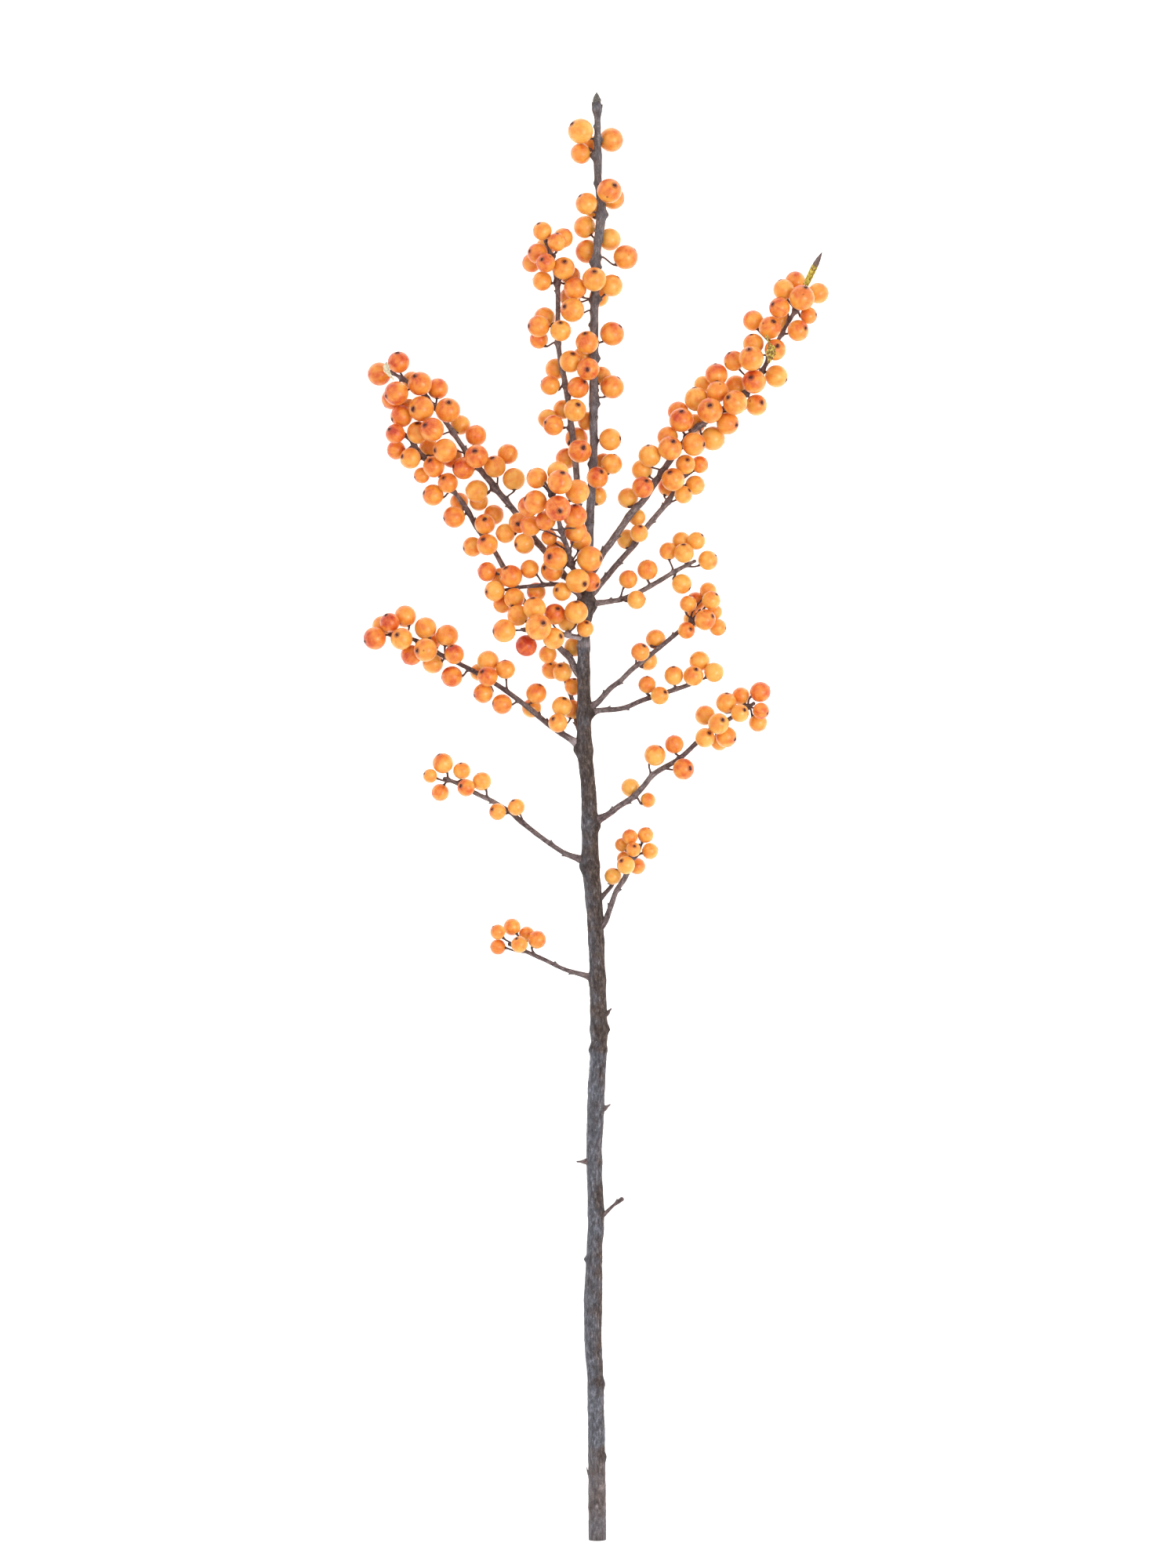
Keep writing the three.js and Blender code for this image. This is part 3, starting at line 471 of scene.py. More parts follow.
# Where the bark is bleached pale grey: [wood, middle along it, reach, share]
BLEACHED = [
    (STEM, 17.0, 19.0, 0.14), (STEM, 372.5, 1.4, 0.4), (STEM, 505.0, 95.0, 0.2),
    ("front_spray_low", 3.0, 5.5, 0.8), ("twig_left_arm", 0.5, 1.8, 0.6),
]
# How grey the twigs' bark is, from brown 0 to pale 1, for those that differ from the rest
TWIG_GREY = {
    "branch_left_upper": 0.8, "branch_left_lower": 0.8, "branch_beside_leader": 0.85,
    "branch_right_upper": 0.5, "branch_right_lower": 0.75, "twig_left_arm": 0.15,
    "front_spray_high": 0.3, "front_spray_low": 0.7, "twig_right_first": 0.8,
}
USUAL_GREY = 0.4
WRINKLED = (380.0, 402.0)  # the swollen fork near the top of the old wood
# Where the first bud can be, and how far apart they are; below, the stem has lost its buds
STEM_BUDS, TWIG_BUDS = (400.0, 11.0), (7.0, 7.5)
TOP_SIDE_BUDS = ((-0.95, 6.2, 3.0, 0.95), (1.25, 7.0, 3.0, 1.0))  # [sideways, below the tip, length, width]
# The sawn face, from its edge to the pith: [share of the radius, how far it stands out]
SAWN_FACE = [(1.0, 0), (0.9, 0.12), (0.75, 0.06), (0.5, 0.1), (0.3, 0.05), (0.16, -0.25), (0.08, -0.3)]


for twig in twigs:
    at = stem.nearest(twig.points[0])
    facing = unit(twig.points[0] - stem.at(at))
    thick = twig.radii[0]
    stem.knobs.append((at, facing, COLLAR_HEIGHT * thick, COLLAR_WIDTH * thick))


def foot_in_parent(wood, parent):
    """The hidden start of a twig: it bends back from its first point to its parent's middle."""
    start, back = wood.points[0], unit(wood.points[0] - wood.points[2])
    behind = start + FOOT_BACK * parent.gaps(start).min() * back
    goal = parent.points[parent.gaps(behind).argmin()]
    reach = np.linalg.norm(goal - start)
    share = np.arange(0, 1 - 0.3 * TWIG_STEP / reach, TWIG_STEP / reach)[:, None]
    bend = start + back * 0.45 * reach
    return (1 - share) ** 2 * goal + 2 * share * (1 - share) * bend + share ** 2 * start


def full_length(wood, parent):
    """Points, radii and way along a piece of wood, with a stem's sawn end or a twig's hidden foot and tip."""
    points, radii = wood.points.copy(), wood.radii
    if parent is None:
        points[0] -= BUTT_EXTRA * unit(points[1] - points[0])
        return points, radii, wood.walk
    foot = foot_in_parent(wood, parent)
    points = np.vstack([foot, points])
    radii = np.append(np.linspace(HIDDEN_SHARE, 1, len(foot)) * radii[0], radii)
    gaps = [parent.gaps(point) for point in points]
    away = np.array([gap.min() for gap in gaps])
    cover = parent.radii[[gap.argmin() for gap in gaps]]
    heading = unit(wood.points[min(6, len(wood.points) - 1)] - wood.points[0])
    square = np.linalg.norm(np.cross(heading, [0, 1, 0]))
    radii = radii * (1 + FOOT_FLARE * square * np.exp(-np.maximum(away - cover, 0) / COLLAR_REACH))
    walk = lengths(points)
    walk = walk - walk[len(foot)]
    if radii[-1] > 0.2:
        beyond, narrowing = np.array(TWIG_TIP).T
        points = np.vstack([points, points[-1] + beyond[:, None] * unit(points[-1] - points[-3])])
        walk = np.append(walk, walk[-1] + beyond)
        radii = np.append(radii, radii[-1] * narrowing)
    return points, radii, walk


def way_round(frames, row, degrees):
    """The direction that faces a way round a line, at one of its points."""
    _, across, outward = frames
    return across[row] * math.cos(math.radians(degrees)) + outward[row] * math.sin(math.radians(degrees))


def bark_relief(straight, radii, seed, stem_level):
    """How far bark stands out of itself: patches, long ridges, grit and cross wrinkles everywhere, and on
    the stem its swellings and the creases of its fork."""
    flat, shape, thick = straight.reshape(-1, 3), straight.shape[:2], radii[:, None]
    on_stem = stem_level is not None
    patches = roughly(flat, 4.5, seed).reshape(shape)
    ridges = roughly(flat * [1, 1, 0.16], 1.1 if on_stem else 0.6, seed).reshape(shape)
    grit = roughly(flat, 0.7, seed + 1).reshape(shape)
    wrinkle = roughly(flat * [0.4, 0.4, 1], 1.3, seed + 2).reshape(shape)
    push = 0.05 * thick * patches + 0.045 * thick * ridges + 0.035 * grit + 0.03 * thick * wrinkle
    if on_stem:
        for up, height, reach in STEM_RINGS:
            push += height * np.exp(-((stem_level - up) / reach) ** 2)[:, None]
        creased = np.exp(-((stem_level - sum(WRINKLED) / 2) / 11) ** 4)[:, None]
        push += creased * (0.4 * roughly(flat, 1.6, seed + 5).reshape(shape) + 0.4 * ridges)
    return push


def knob_heights(walk, spokes, radii, knobs):
    """How far each point of a ring grid is pushed out by its wood's knobs and the swelling round them."""
    out = np.zeros(spokes.shape[:2])
    for at, way, height, width in knobs:
        rows = np.nonzero(np.abs(walk - at) < 2.6 * width)[0]
        turn = np.arccos(np.clip(spokes[rows] @ unit(way), -1, 1)) * radii[rows, None]
        out[rows] += height * np.exp(-((walk[rows, None] - at) ** 2 + turn ** 2) / width ** 2)
    return out


def bud_places(walk, spokes, knobs, first, spacing):
    """The row and way of a bud on each bare joint; every one sits on a small knob, added to the knobs."""
    buds = []
    for joint in np.arange(first, walk[-1] - 3, spacing):
        if all(abs(joint - knob[0]) >= 2.0 for knob in knobs):
            row = int(np.abs(walk - joint).argmin())
            way = spokes[row, int(joint * 7) % spokes.shape[1]]
            knobs.append((joint, way, 0.3, 0.75))
            buds.append((row, way))
    return buds


def bark_tone(wood, level, walk, spokes, radii, knobs, grey):
    """How grey bark is at each point, how stained by its knobs, and how bleached."""
    thick = radii[:, None]
    stain = np.zeros(spokes.shape[:2])
    for at, way, height, width in knobs:
        turn = (1 - spokes @ unit(way)) * thick
        near = np.exp(-((walk[:, None] - at) ** 2 + turn ** 2) / (1.4 * width) ** 2)
        stain = np.maximum(stain, near * min(height, 0.8))
    bleached = np.zeros(stain.shape)
    for name, middle, reach, share in BLEACHED:
        if name == wood.name:
            bleached += share * np.exp(-((level - middle) / reach) ** 4)[:, None]
    greyness = grey[:, None] - np.zeros(stain.shape)
    return np.stack([greyness, stain, bleached], axis=2)


def age_stem(tone, level, walk, spokes, radii, frames):
    """The stem's own marks: it is greyer on its left, and has a healed knot."""
    tone[:, :, 0] -= read(GREY_SIDE, level)[:, None] * spokes[:, :, 0]
    up, way, reach = STEM_KNOT
    row = int(np.abs(level - up).argmin())
    around = np.arccos(np.clip(spokes @ way_round(frames, row, way), -1, 1)) * radii[:, None]
    ring = np.hypot(walk[:, None] - walk[row], 1.3 * around) / reach
    tone[:, :, 1] = np.maximum(tone[:, :, 1] * np.minimum(ring, 1), 0.9 * np.exp(-((ring - 1) / 0.4) ** 2))
    tone[:, :, 2] += 0.9 * np.exp(-(ring / 0.5) ** 2)


def add_bud(skin, base, way, length, width, grown):
    """A pointed bud of overlapping scales."""
    share = np.linspace(0, 1, 8)
    spine = base + share[:, None] * way * length
    shape = np.sin(np.pi * np.clip(share * 0.86 + 0.14, 0, 1)) ** 0.75 * (1.15 - 0.5 * share)
    rings, _ = tube(spine, np.maximum(shape, 0.04) * width, 10)
    skin.wrap(rings, 1, grown, tone=(0.2, 0.2, 0))


def grow(wood, parent, materials, slot):
    """The bark, knobs and buds of one piece of wood."""
    is_stem = parent is None
    points, radii, walk = full_length(wood, parent)
    frames = carried_frames(points)
    level = points[:, 1] - points[0, 1] if is_stem else walk
    sides = STEM_SIDES if is_stem else TWIG_SIDES
    _, spokes = tube(points, radii, sides)
    seed = 3.1 * (1 + list(woods).index(wood.name))
    angles, thick = ring_angles(sides), radii[:, None]
    straight = np.stack([np.cos(angles) * thick, np.sin(angles) * thick,
                         np.broadcast_to(walk[:, None] + 40 * seed, spokes.shape[:2])], axis=2)
    push = bark_relief(straight, radii, seed, level if is_stem else None)
    knobs = list(wood.knobs)
    for up, way, height, width in STEM_KNOBS if is_stem else ():
        at = np.interp(up, level, walk)
        knobs.append((at, way_round(frames, int(np.abs(walk - at).argmin()), way), height, width))
    buds = bud_places(walk, spokes, knobs, *(STEM_BUDS if is_stem else TWIG_BUDS))
    push += knob_heights(walk, spokes, radii, knobs)
    for at, _, height, width in knobs:
        push += 0.15 * height * np.exp(-((walk - at) / (1.2 * width)) ** 2)[:, None]
    rings = points[:, None] + spokes * (thick + push)[:, :, None]
    if is_stem:
        rings[:, :, 2] = np.maximum(rings[:, :, 2], FLOOR_GAP)
        grey = read(STEM_GREY, level)
    else:
        grey = TWIG_GREY.get(wood.name, USUAL_GREY) + 0.25 * np.sin(walk / 9 + seed)
    tone = bark_tone(wood, level, walk, spokes, radii, knobs, grey)
    if is_stem:
        age_stem(tone, level, walk, spokes, radii, frames)
    skin = Skin()
    skin.wrap(rings, grown=with_ends(straight, last=-1), tone=with_ends(tone))
    length, width = STEM_BUD_SIZE if is_stem else TWIG_BUD_SIZE
    for row, way in buds:
        along = unit(points[min(row + 2, len(points) - 1)] - points[row])
        surface = points[row] + way * radii[row] * 0.9
        add_bud(skin, surface, unit(0.75 * along + 0.6 * way), length, width, straight[row, 0])
    if is_stem:
        finish_stem(skin, points, radii, spokes, straight, level, frames)
    skin.piece("bark_" + wood.name if is_stem else wood.name + "_bark", materials, slot, wood.name)


def finish_stem(skin, points, radii, spokes, straight, level, frames):
    """The stem's old spur, the sawn face at its bottom and the three buds at its top."""
    up, way, length, width = STEM_SPUR
    row = int(np.abs(level - up).argmin())
    base = points[row] + way_round(frames, row, way) * (radii[row] + 0.1)
    add_bud(skin, base, unit(np.array([-0.22, 1, 0])), length, width, straight[row, 0])
    out = -unit(points[1] - points[0])
    face = points[0] + out * 0.05
    shares, sunk = np.array(SAWN_FACE).T
    rings = face + spokes[0][None] * (radii[0] * 0.97 * shares)[:, None, None] + sunk[:, None, None] * out
    rings[:, :, 2] = np.maximum(rings[:, :, 2], FLOOR_GAP)
    across = np.append(np.repeat(shares, STEM_SIDES), [1.0, 0.0])[:, None]
    skin.wrap(rings, 2, loft(rings)[0] - face, tone=across * [1, 0, 0])
    top, grown = points[-1], straight[-8, 0]
    for sideways, drop, length, width in TOP_SIDE_BUDS:
        base = top + np.array([sideways * 0.7, -drop, 0.1])
        add_bud(skin, base, unit(np.array([sideways * 0.5, 1.0, 0.1])), length, width, grown)
    add_bud(skin, top - [0, 4.9, 0.1], np.array([0, 1.0, 0]), 5.5, 1.75, grown)


# ---------------------------------------------------------------- the berries
# Side view of a berry: [degrees from the end button, share of its radius]. The button stands a hair
# proud of the skin, and the stalk end has a shallow pit.
BERRY_OUTLINE = [
    (5, 1.018), (9, 1.02), (10.8, 1.016), (11.6, 1.0), (12.6, 0.988), (15, 0.992), (19, 0.999), (25, 1),
    (33, 1), *((level, 1) for level in range(42, 133, 10)), (141, 1), (149, 1), (156, 0.998),
    (162, 0.992), (167, 0.98), (172, 0.965), (176, 0.955),
]
BUTTON_RINGS = 3
BLUSH_AND_SHADE_SIDE = np.array([-0.45, 0.55, 0.3])  # the reddest side: where it ripened in the sun, and painted shade on the side away from the key light


def add_berry(skin, berry):
    """One berry: a slightly squat ball with a dark button at the end away from its stalk."""
    outline = np.array(BERRY_OUTLINE)
    turns = ring_angles(BERRY_TURNS)
    chance = berry["chance"]
    polar = np.radians(outline[:, 0])[:, None] * np.ones(BERRY_TURNS)
    button = np.arange(len(outline)) < BUTTON_RINGS + 3
    uneven = (1 + 0.2 * np.sin(2 * turns + 9 * chance[0]) + 0.1 * np.sin(3 * turns + 7 * chance[1])
              + 0.07 * np.sin(5 * turns + 11 * chance[2]))
    size = 0.56 + 0.3 * chance[2]
    polar[button] *= uneven * size + (1 - size) * np.linspace(0, 1, button.sum())[:, None] ** 3
    unit_ball = np.stack([np.sin(polar) * np.cos(turns), np.sin(polar) * np.sin(turns),
                          np.cos(polar)], axis=2)
    unit_ball = np.vstack([unit_ball.reshape(-1, 3), [[0, 0, 1.0], [0, 0, -1.0]]])
    reach = np.append(np.repeat(outline[:, 1], BERRY_TURNS), [1.01, 0.95])
    squat = 0.97 + 0.04 * chance[0]
    lumps = 1 + 0.014 * roughly(unit_ball, 1.3, 5 + 10 * chance[1])
    local = unit_ball * (reach * lumps)[:, None] * [1, 1, squat]
    turned = np.stack([*square_to(berry["axis"]), berry["axis"]])
    size = berry["radius"] * BERRY_FULLNESS
    points = berry["centre"] + (local @ turned) * size
    points[:, 2] = np.maximum(points[:, 2], FLOOR_GAP)
    count, sides = len(outline), BERRY_TURNS
    faces = walls(count, sides, flipped=True)
    tops = [(i, (i + 1) % sides, count * sides) for i in range(sides)]
    last = (count - 1) * sides
    ends = [(last + (i + 1) % sides, last + i, count * sides + 1) for i in range(sides)]
    split = BUTTON_RINGS * sides
    # painted shade: every berry is redder on the same upper-left side, away from the key light, as well as
    # where it ripened in the sun
    blush_and_shade = np.clip((unit_ball @ turned) @ unit(BLUSH_AND_SHADE_SIDE + 0.5 * (chance - 0.5)) * 0.5 + 0.5, 0, 1)
    ripeness = np.stack(np.broadcast_arrays(blush_and_shade, chance[0], chance[1] + berry["red"]), axis=1)
    flesh, button = faces[split:] + ends, tops + faces[:split]
    finishes = np.repeat([0, 1], [len(flesh), len(button)])
    skin.add(points, flesh + button, finishes, own=unit_ball * size, ripeness=ripeness)


def add_stalk(skin, berry):
    """A thin curved stalk from a leaf joint to the berry, with the five-lobed remains of the flower."""
    wood, axis, radius = berry["wood"], -berry["hold"], berry["radius"] * BERRY_FULLNESS
    bark = np.interp(berry["walk"], wood.walk, wood.radii)
    end = berry["centre"] - axis * radius * 0.93
    out = end - berry["foot"]
    out = unit(out - berry["along"] * out.dot(berry["along"]))
    foot = berry["foot"] + out * bark * 0.9
    reach = np.linalg.norm(end - foot)
    first = foot + (0.7 * out + 0.5 * berry["along"]) * reach * 0.4
    spine = curve(foot, first, end - axis * reach * 0.35, end, 11)
    flare = 1 + 0.9 * np.exp(-lengths(spine) / 0.7) + 0.8 * np.exp(-(reach - lengths(spine)) / 0.6)
    rings, _ = tube(spine, STALK_RADIUS * flare, STALK_SIDES)
    skin.wrap(rings, tone=(0.1, 0.2, 0))
    turns = ring_angles(20)
    lobes = 0.15 + 0.08 * np.abs(np.cos(2.5 * turns)) + 0.02 * np.sin(turns + 5 * berry["chance"][2])
    side, other = square_to(axis)
    rings = []
    for width, lift in ((0.1, 1.03), (0.6, 1.03), (1.0, 1.018), (1.0, 0.985), (0.5, 0.96)):
        polar = lobes * width
        way = (np.sin(polar) * np.cos(turns))[:, None] * side
        way = way + (np.sin(polar) * np.sin(turns))[:, None] * other
        ring = way - np.cos(polar)[:, None] * axis * 0.965
        rings.append(berry["centre"] + ring * radius * lift)
    skin.wrap(np.array(rings), tone=(0.0, 0.6, 0))


# ---------------------------------------------------------------- the dry leaves
# How each dry scrap is shaped: [roll in degrees, drop, ragged edge, widest half in mm, half widths
# along it as shares of the widest, how far its tip has browned, how bleached it is]
LEAF_SHAPES = {
    "dry_leaf_tip": (230, 0.5, 0.04, 2.7, (0.82, 0.92, 0.97, 1.0, 1.0, 0.92, 0.78, 0.5, 0.12), 0.92, 0.0),
    "dry_leaf_right": (110, 0.8, 0.10, 2.7, (0.1, 0.12, 0.15, 0.6, 0.9, 1.0, 0.75, 0.45, 0.15), 0.0, -0.8),
    "dry_leaf_left": (120, 0.9, 0.08, 1.7, (0.35, 0.75, 1.0, 1.0, 0.9, 0.7, 0.5, 0.35, 0.2), 0.0, 1.0),
}
LEAF_THICKNESS = 0.16


def add_leaf_stalk(skin, blade, bleached):
    """The thin dry stalk that holds a blade to the nearest twig, joined to the blade's lower end."""
    base, heading = blade[0], unit(blade[3] - blade[0])
    wood = min(twigs, key=lambda twig: twig.gaps(base).min())
    foot = wood.at(wood.nearest(base))
    reach = np.linalg.norm(base - foot)
    spine = curve(foot, foot + [0, 0, 0.5 * reach], base - heading * 0.3 * reach, base + heading * 0.6, 15)
    rings, _ = tube(spine, LEAF_STALK_RADIUS * (1 + 0.8 * np.exp(-lengths(spine) / 1.2)), STALK_SIDES)
    skin.wrap(rings, tone=(0.0, 0.0, bleached))


def make_leaf(node, materials):
    """A scrap of dry leaf: a thin blade rolled about its midrib, with a toothed edge."""
    roll, bend, ragged, widest, widths, browned, bleached = LEAF_SHAPES[node]
    rings = rings_of(node)
    centres = np.array([ring.mean(axis=0) for ring in rings])
    if centres[0][1] > centres[-1][1] and node == "dry_leaf_tip":
        centres = centres[::-1]
    points, _ = smooth_line(centres, np.ones(len(centres)), 0.3)
    walk = lengths(points)
    share = walk / walk[-1]
    half = widest * np.interp(share, np.linspace(0, 1, len(widths)), widths)
    _, across, outward = carried_frames(points)
    spread = np.linspace(-1, 1, 25)
    seed = len(node) * 1.7
    teeth = 1 + ragged * np.sin(walk * 3.1 + seed) + 0.5 * ragged * np.sin(walk * 7.7)
    turn = spread[None] * math.radians(roll) / 2 * (1 - 0.25 * share[:, None])
    arm = half * teeth * 2 / math.radians(roll)
    sideways = arm[:, None] * np.sin(turn)
    upward = arm[:, None] * (1 - np.cos(turn)) * 0.9 - 0.12 * np.exp(-(spread[None] / 0.08) ** 2)
    waves = 0.18 * np.sin(walk * 1.3 + seed)[:, None] * np.abs(spread)[None]
    middle = (points[:, None] + across[:, None] * sideways[..., None]
              + outward[:, None] * (upward + waves - bend)[..., None])
    down = unit(np.cross(np.gradient(middle, axis=0), np.gradient(middle, axis=1)))
    thin = LEAF_THICKNESS * (1 - 0.6 * np.abs(spread))[None, :, None]
    rings = np.concatenate([middle + down * thin / 2, (middle - down * thin / 2)[:, ::-1]], axis=1)
    flat = np.stack(np.broadcast_arrays(spread * half[:, None], walk[:, None], 0.0), axis=2)
    flat = np.concatenate([flat, flat[:, ::-1]], axis=1)
    tone = np.broadcast_to(share[:, None, None], flat.shape) * [1, 0, 0] + [0, browned, bleached]
    skin = Skin()
    skin.wrap(rings, grown=with_ends(flat), tone=with_ends(tone))
    add_leaf_stalk(skin, middle[:, len(spread) // 2], bleached)
    skin.piece(node + "_blade", materials, "dry_leaf", node)


# ---------------------------------------------------------------- materials
def linear(code):
    """An sRGB hex colour as linear red, green, blue and full alpha."""
    parts = [int(code[i:i + 2], 16) / 255 for i in (1, 3, 5)]
    return (*[c / 12.92 if c <= 0.04045 else ((c + 0.055) / 1.055) ** 2.4 for c in parts], 1.0)


def add(tree, kind, settings=None, links=None):
    """Adds a node. Settings are properties or input values, where a hex code is a colour, "range" a map's
    limits and "stops" a ramp's. Links are inputs fed by a socket, or by a node's first output in use."""
    node = tree.nodes.new("ShaderNode" + kind)
    for name, value in (settings or {}).items():
        if name == "range":
            for title, limit in zip(("From Min", "From Max", "To Min", "To Max"), value):
                node.inputs[title].default_value = limit
        elif name == "stops":
            while len(node.color_ramp.elements) < len(value):
                node.color_ramp.elements.new(0.5)
            for stop, (place, colour) in zip(node.color_ramp.elements, value):
                stop.position, stop.color = place, linear(colour)
        elif isinstance(name, str) and hasattr(node, name):
            setattr(node, name, value)
        else:
            node.inputs[name].default_value = linear(value) if isinstance(value, str) else value
    for name, source in (links or {}).items():
        if not isinstance(source, bpy.types.NodeSocket):
            source = next(output for output in source.outputs if output.enabled)
        tree.links.new(source, node.inputs[name])
    return node


def new_material(name, *attributes):
    """A material, its node tree, and the vector of each attribute of its piece that it reads."""
    material = bpy.data.materials.new(name)
    material.use_nodes = True
    tree = material.node_tree
    tree.nodes.clear()
    return material, tree, *[add(tree, "Attribute", {"attribute_name": title}).outputs["Vector"]
                             for title in attributes]


def finished(material, settings, links):
    shader = add(material.node_tree, "BsdfPrincipled", settings, links)
    add(material.node_tree, "OutputMaterial", links={"Surface": shader})
    return material


def mottled(material, tree, place, grain, stops, relief, roughness):
    """Finishes a material whose grain, a scale and a detail, gives its colour and its relief."""
    scale, detail = grain
    strength, depth = relief
    mottle = add(tree, "TexNoise", {"Scale": scale, "Detail": detail}, {"Vector": place})
    colour = add(tree, "ValToRGB", {"stops": stops}, {0: mottle})
    bump = add(tree, "Bump", {"Strength": strength, "Distance": depth}, {"Height": mottle})
    return finished(material, {"Roughness": roughness, "IOR": 1.45}, {"Base Color": colour, "Normal": bump})


def waxy_berry_skin():
    """Ripe winterberry skin: a thin waxy cuticle over pulp that lets light in. The eye sees a soft
    satin gloss, glowing orange that is redder round the button and on one side, from sun ripening and painted
    shade, pale pores."""
    material, tree, own, ripeness = new_material("waxy_winterberry_skin", "own", "ripeness")
    sun_and_shade, chance, riper = add(tree, "SeparateXYZ", links={0: ripeness}).outputs
    buttonwards = add(tree, "SeparateXYZ", links={0: own}).outputs[2]
    shift = add(tree, "Math", {"operation": "MULTIPLY", 1: 60.0}, {0: chance})
    patches = add(tree, "TexNoise", {"noise_dimensions": "4D", "Scale": 1 / 3.2, "Detail": 2.0},
                  {"Vector": own, "W": shift})
    # faint meridians, from button to stalk, follow the seams between the stones inside
    turned = add(tree, "VectorMath", {"operation": "MULTIPLY", 1: (1.0, 1.0, 0.0)}, {0: own})
    turned = add(tree, "VectorMath", {"operation": "NORMALIZE"}, {0: turned})
    seams = add(tree, "TexNoise", {"noise_dimensions": "4D", "Scale": 3.4, "Detail": 2.0},
                {"Vector": turned, "W": shift})
    # redder on the sunny side, which also carries painted shade away from the key light, in patches, towards
    # the button, by how ripe it is and between seams
    red = None
    for source, curve, limits in (
            (sun_and_shade, "SMOOTHSTEP", (0.45, 1.0, 0.0, 0.12)), (patches, "LINEAR", (0.35, 0.68, -0.21, 0.3)),
            (buttonwards, "SMOOTHSTEP", (-1.0, 4.6, 0.0, 0.22)), (riper, "LINEAR", (0.0, 3.0, -0.06, 1.32)),
            (seams, "LINEAR", (0.35, 0.7, 0.07, -0.09))):
        more = add(tree, "MapRange", {"interpolation_type": curve, "range": limits}, {"Value": source})
        red = add(tree, "Math", {"operation": "ADD"}, {0: red, 1: more}) if red else more
    colour = add(tree, "ValToRGB", {"stops": [
        (0.0, "#f0b254"), (0.22, "#eda244"), (0.5, "#e68834"), (0.75, "#d96627"), (1.0, "#bd3819")]},
                 {0: red})
    # pale pores about 0.9 mm apart
    pores = add(tree, "TexVoronoi", {"Scale": 1 / 0.9, "Randomness": 1.0}, {"Vector": own})
    pore_mask = add(tree, "MapRange", {"range": (0.1, 0.24, 0.16, 0.0)}, {"Value": pores})
    # a few brown-red bruises with ragged edges, on some berries only
    bruise = add(tree, "TexVoronoi", {"voronoi_dimensions": "4D", "Scale": 1 / 5.5},
                 {"Vector": own, "W": shift})
    edge = add(tree, "TexNoise", {"Scale": 1 / 0.5, "Detail": 2.0}, {"Vector": own})
    ragged = add(tree, "Math", {"operation": "MULTIPLY_ADD", 1: 0.06}, {0: edge, 2: bruise})
    bruise_mask = add(tree, "MapRange", {"range": (0.1, 0.155, 0.75, 0.0)}, {"Value": ragged})
    # the skin darkens in a narrow ring round the button
    length = add(tree, "VectorMath", {"operation": "LENGTH"}, {0: own})
    cosine = add(tree, "Math", {"operation": "DIVIDE"}, {0: buttonwards, 1: length})
    ring = add(tree, "MapRange", {"interpolation_type": "SMOOTHSTEP", "range": (0.925, 0.99, 0.0, 0.8)},
               {"Value": cosine})
    for tint, mask in (("#f0b560", pore_mask), ("#8e3318", bruise_mask), ("#8a3c1a", ring)):
        colour = add(tree, "Mix", {"data_type": "RGBA", 7: tint}, {0: mask, 6: colour})
    gloss = add(tree, "MapRange", {"range": (0.3, 0.7, 0.3, 0.44)}, {"Value": patches})
    grain = add(tree, "TexNoise", {"Scale": 1 / 0.35, "Detail": 3.0}, {"Vector": own})
    bump = add(tree, "Bump", {"Strength": 0.12, "Distance": 0.1 * MM}, {"Height": grain})
    dimples = add(tree, "Bump", {"Strength": 0.25, "Distance": 0.15 * MM},
                  {"Height": patches, "Normal": bump})
    return finished(material, {
        "Subsurface Weight": 0.35, "Subsurface Radius": (1.0, 0.35, 0.12), "Subsurface Scale": 2.2 * MM,
        "IOR": 1.42, "Coat Weight": 0.4, "Coat Roughness": 0.2, "Coat IOR": 1.4,
        "Sheen Weight": 0.35, "Sheen Roughness": 0.16, "Sheen Tint": "#fff4e8"},
        {"Base Color": colour, "Roughness": gloss, "Normal": dimples})


def dried_button():
    """The dried stigma at a berry's end: a hard brown-black crust. The eye sees a matt dark dot."""
    return mottled(*new_material("dried_stigma_crust", "own"), (1 / 0.4, 3.0),
                   [(0.3, "#34110e"), (0.6, "#521f16"), (0.8, "#7a4029")], (0.5, 0.1 * MM), 0.72)


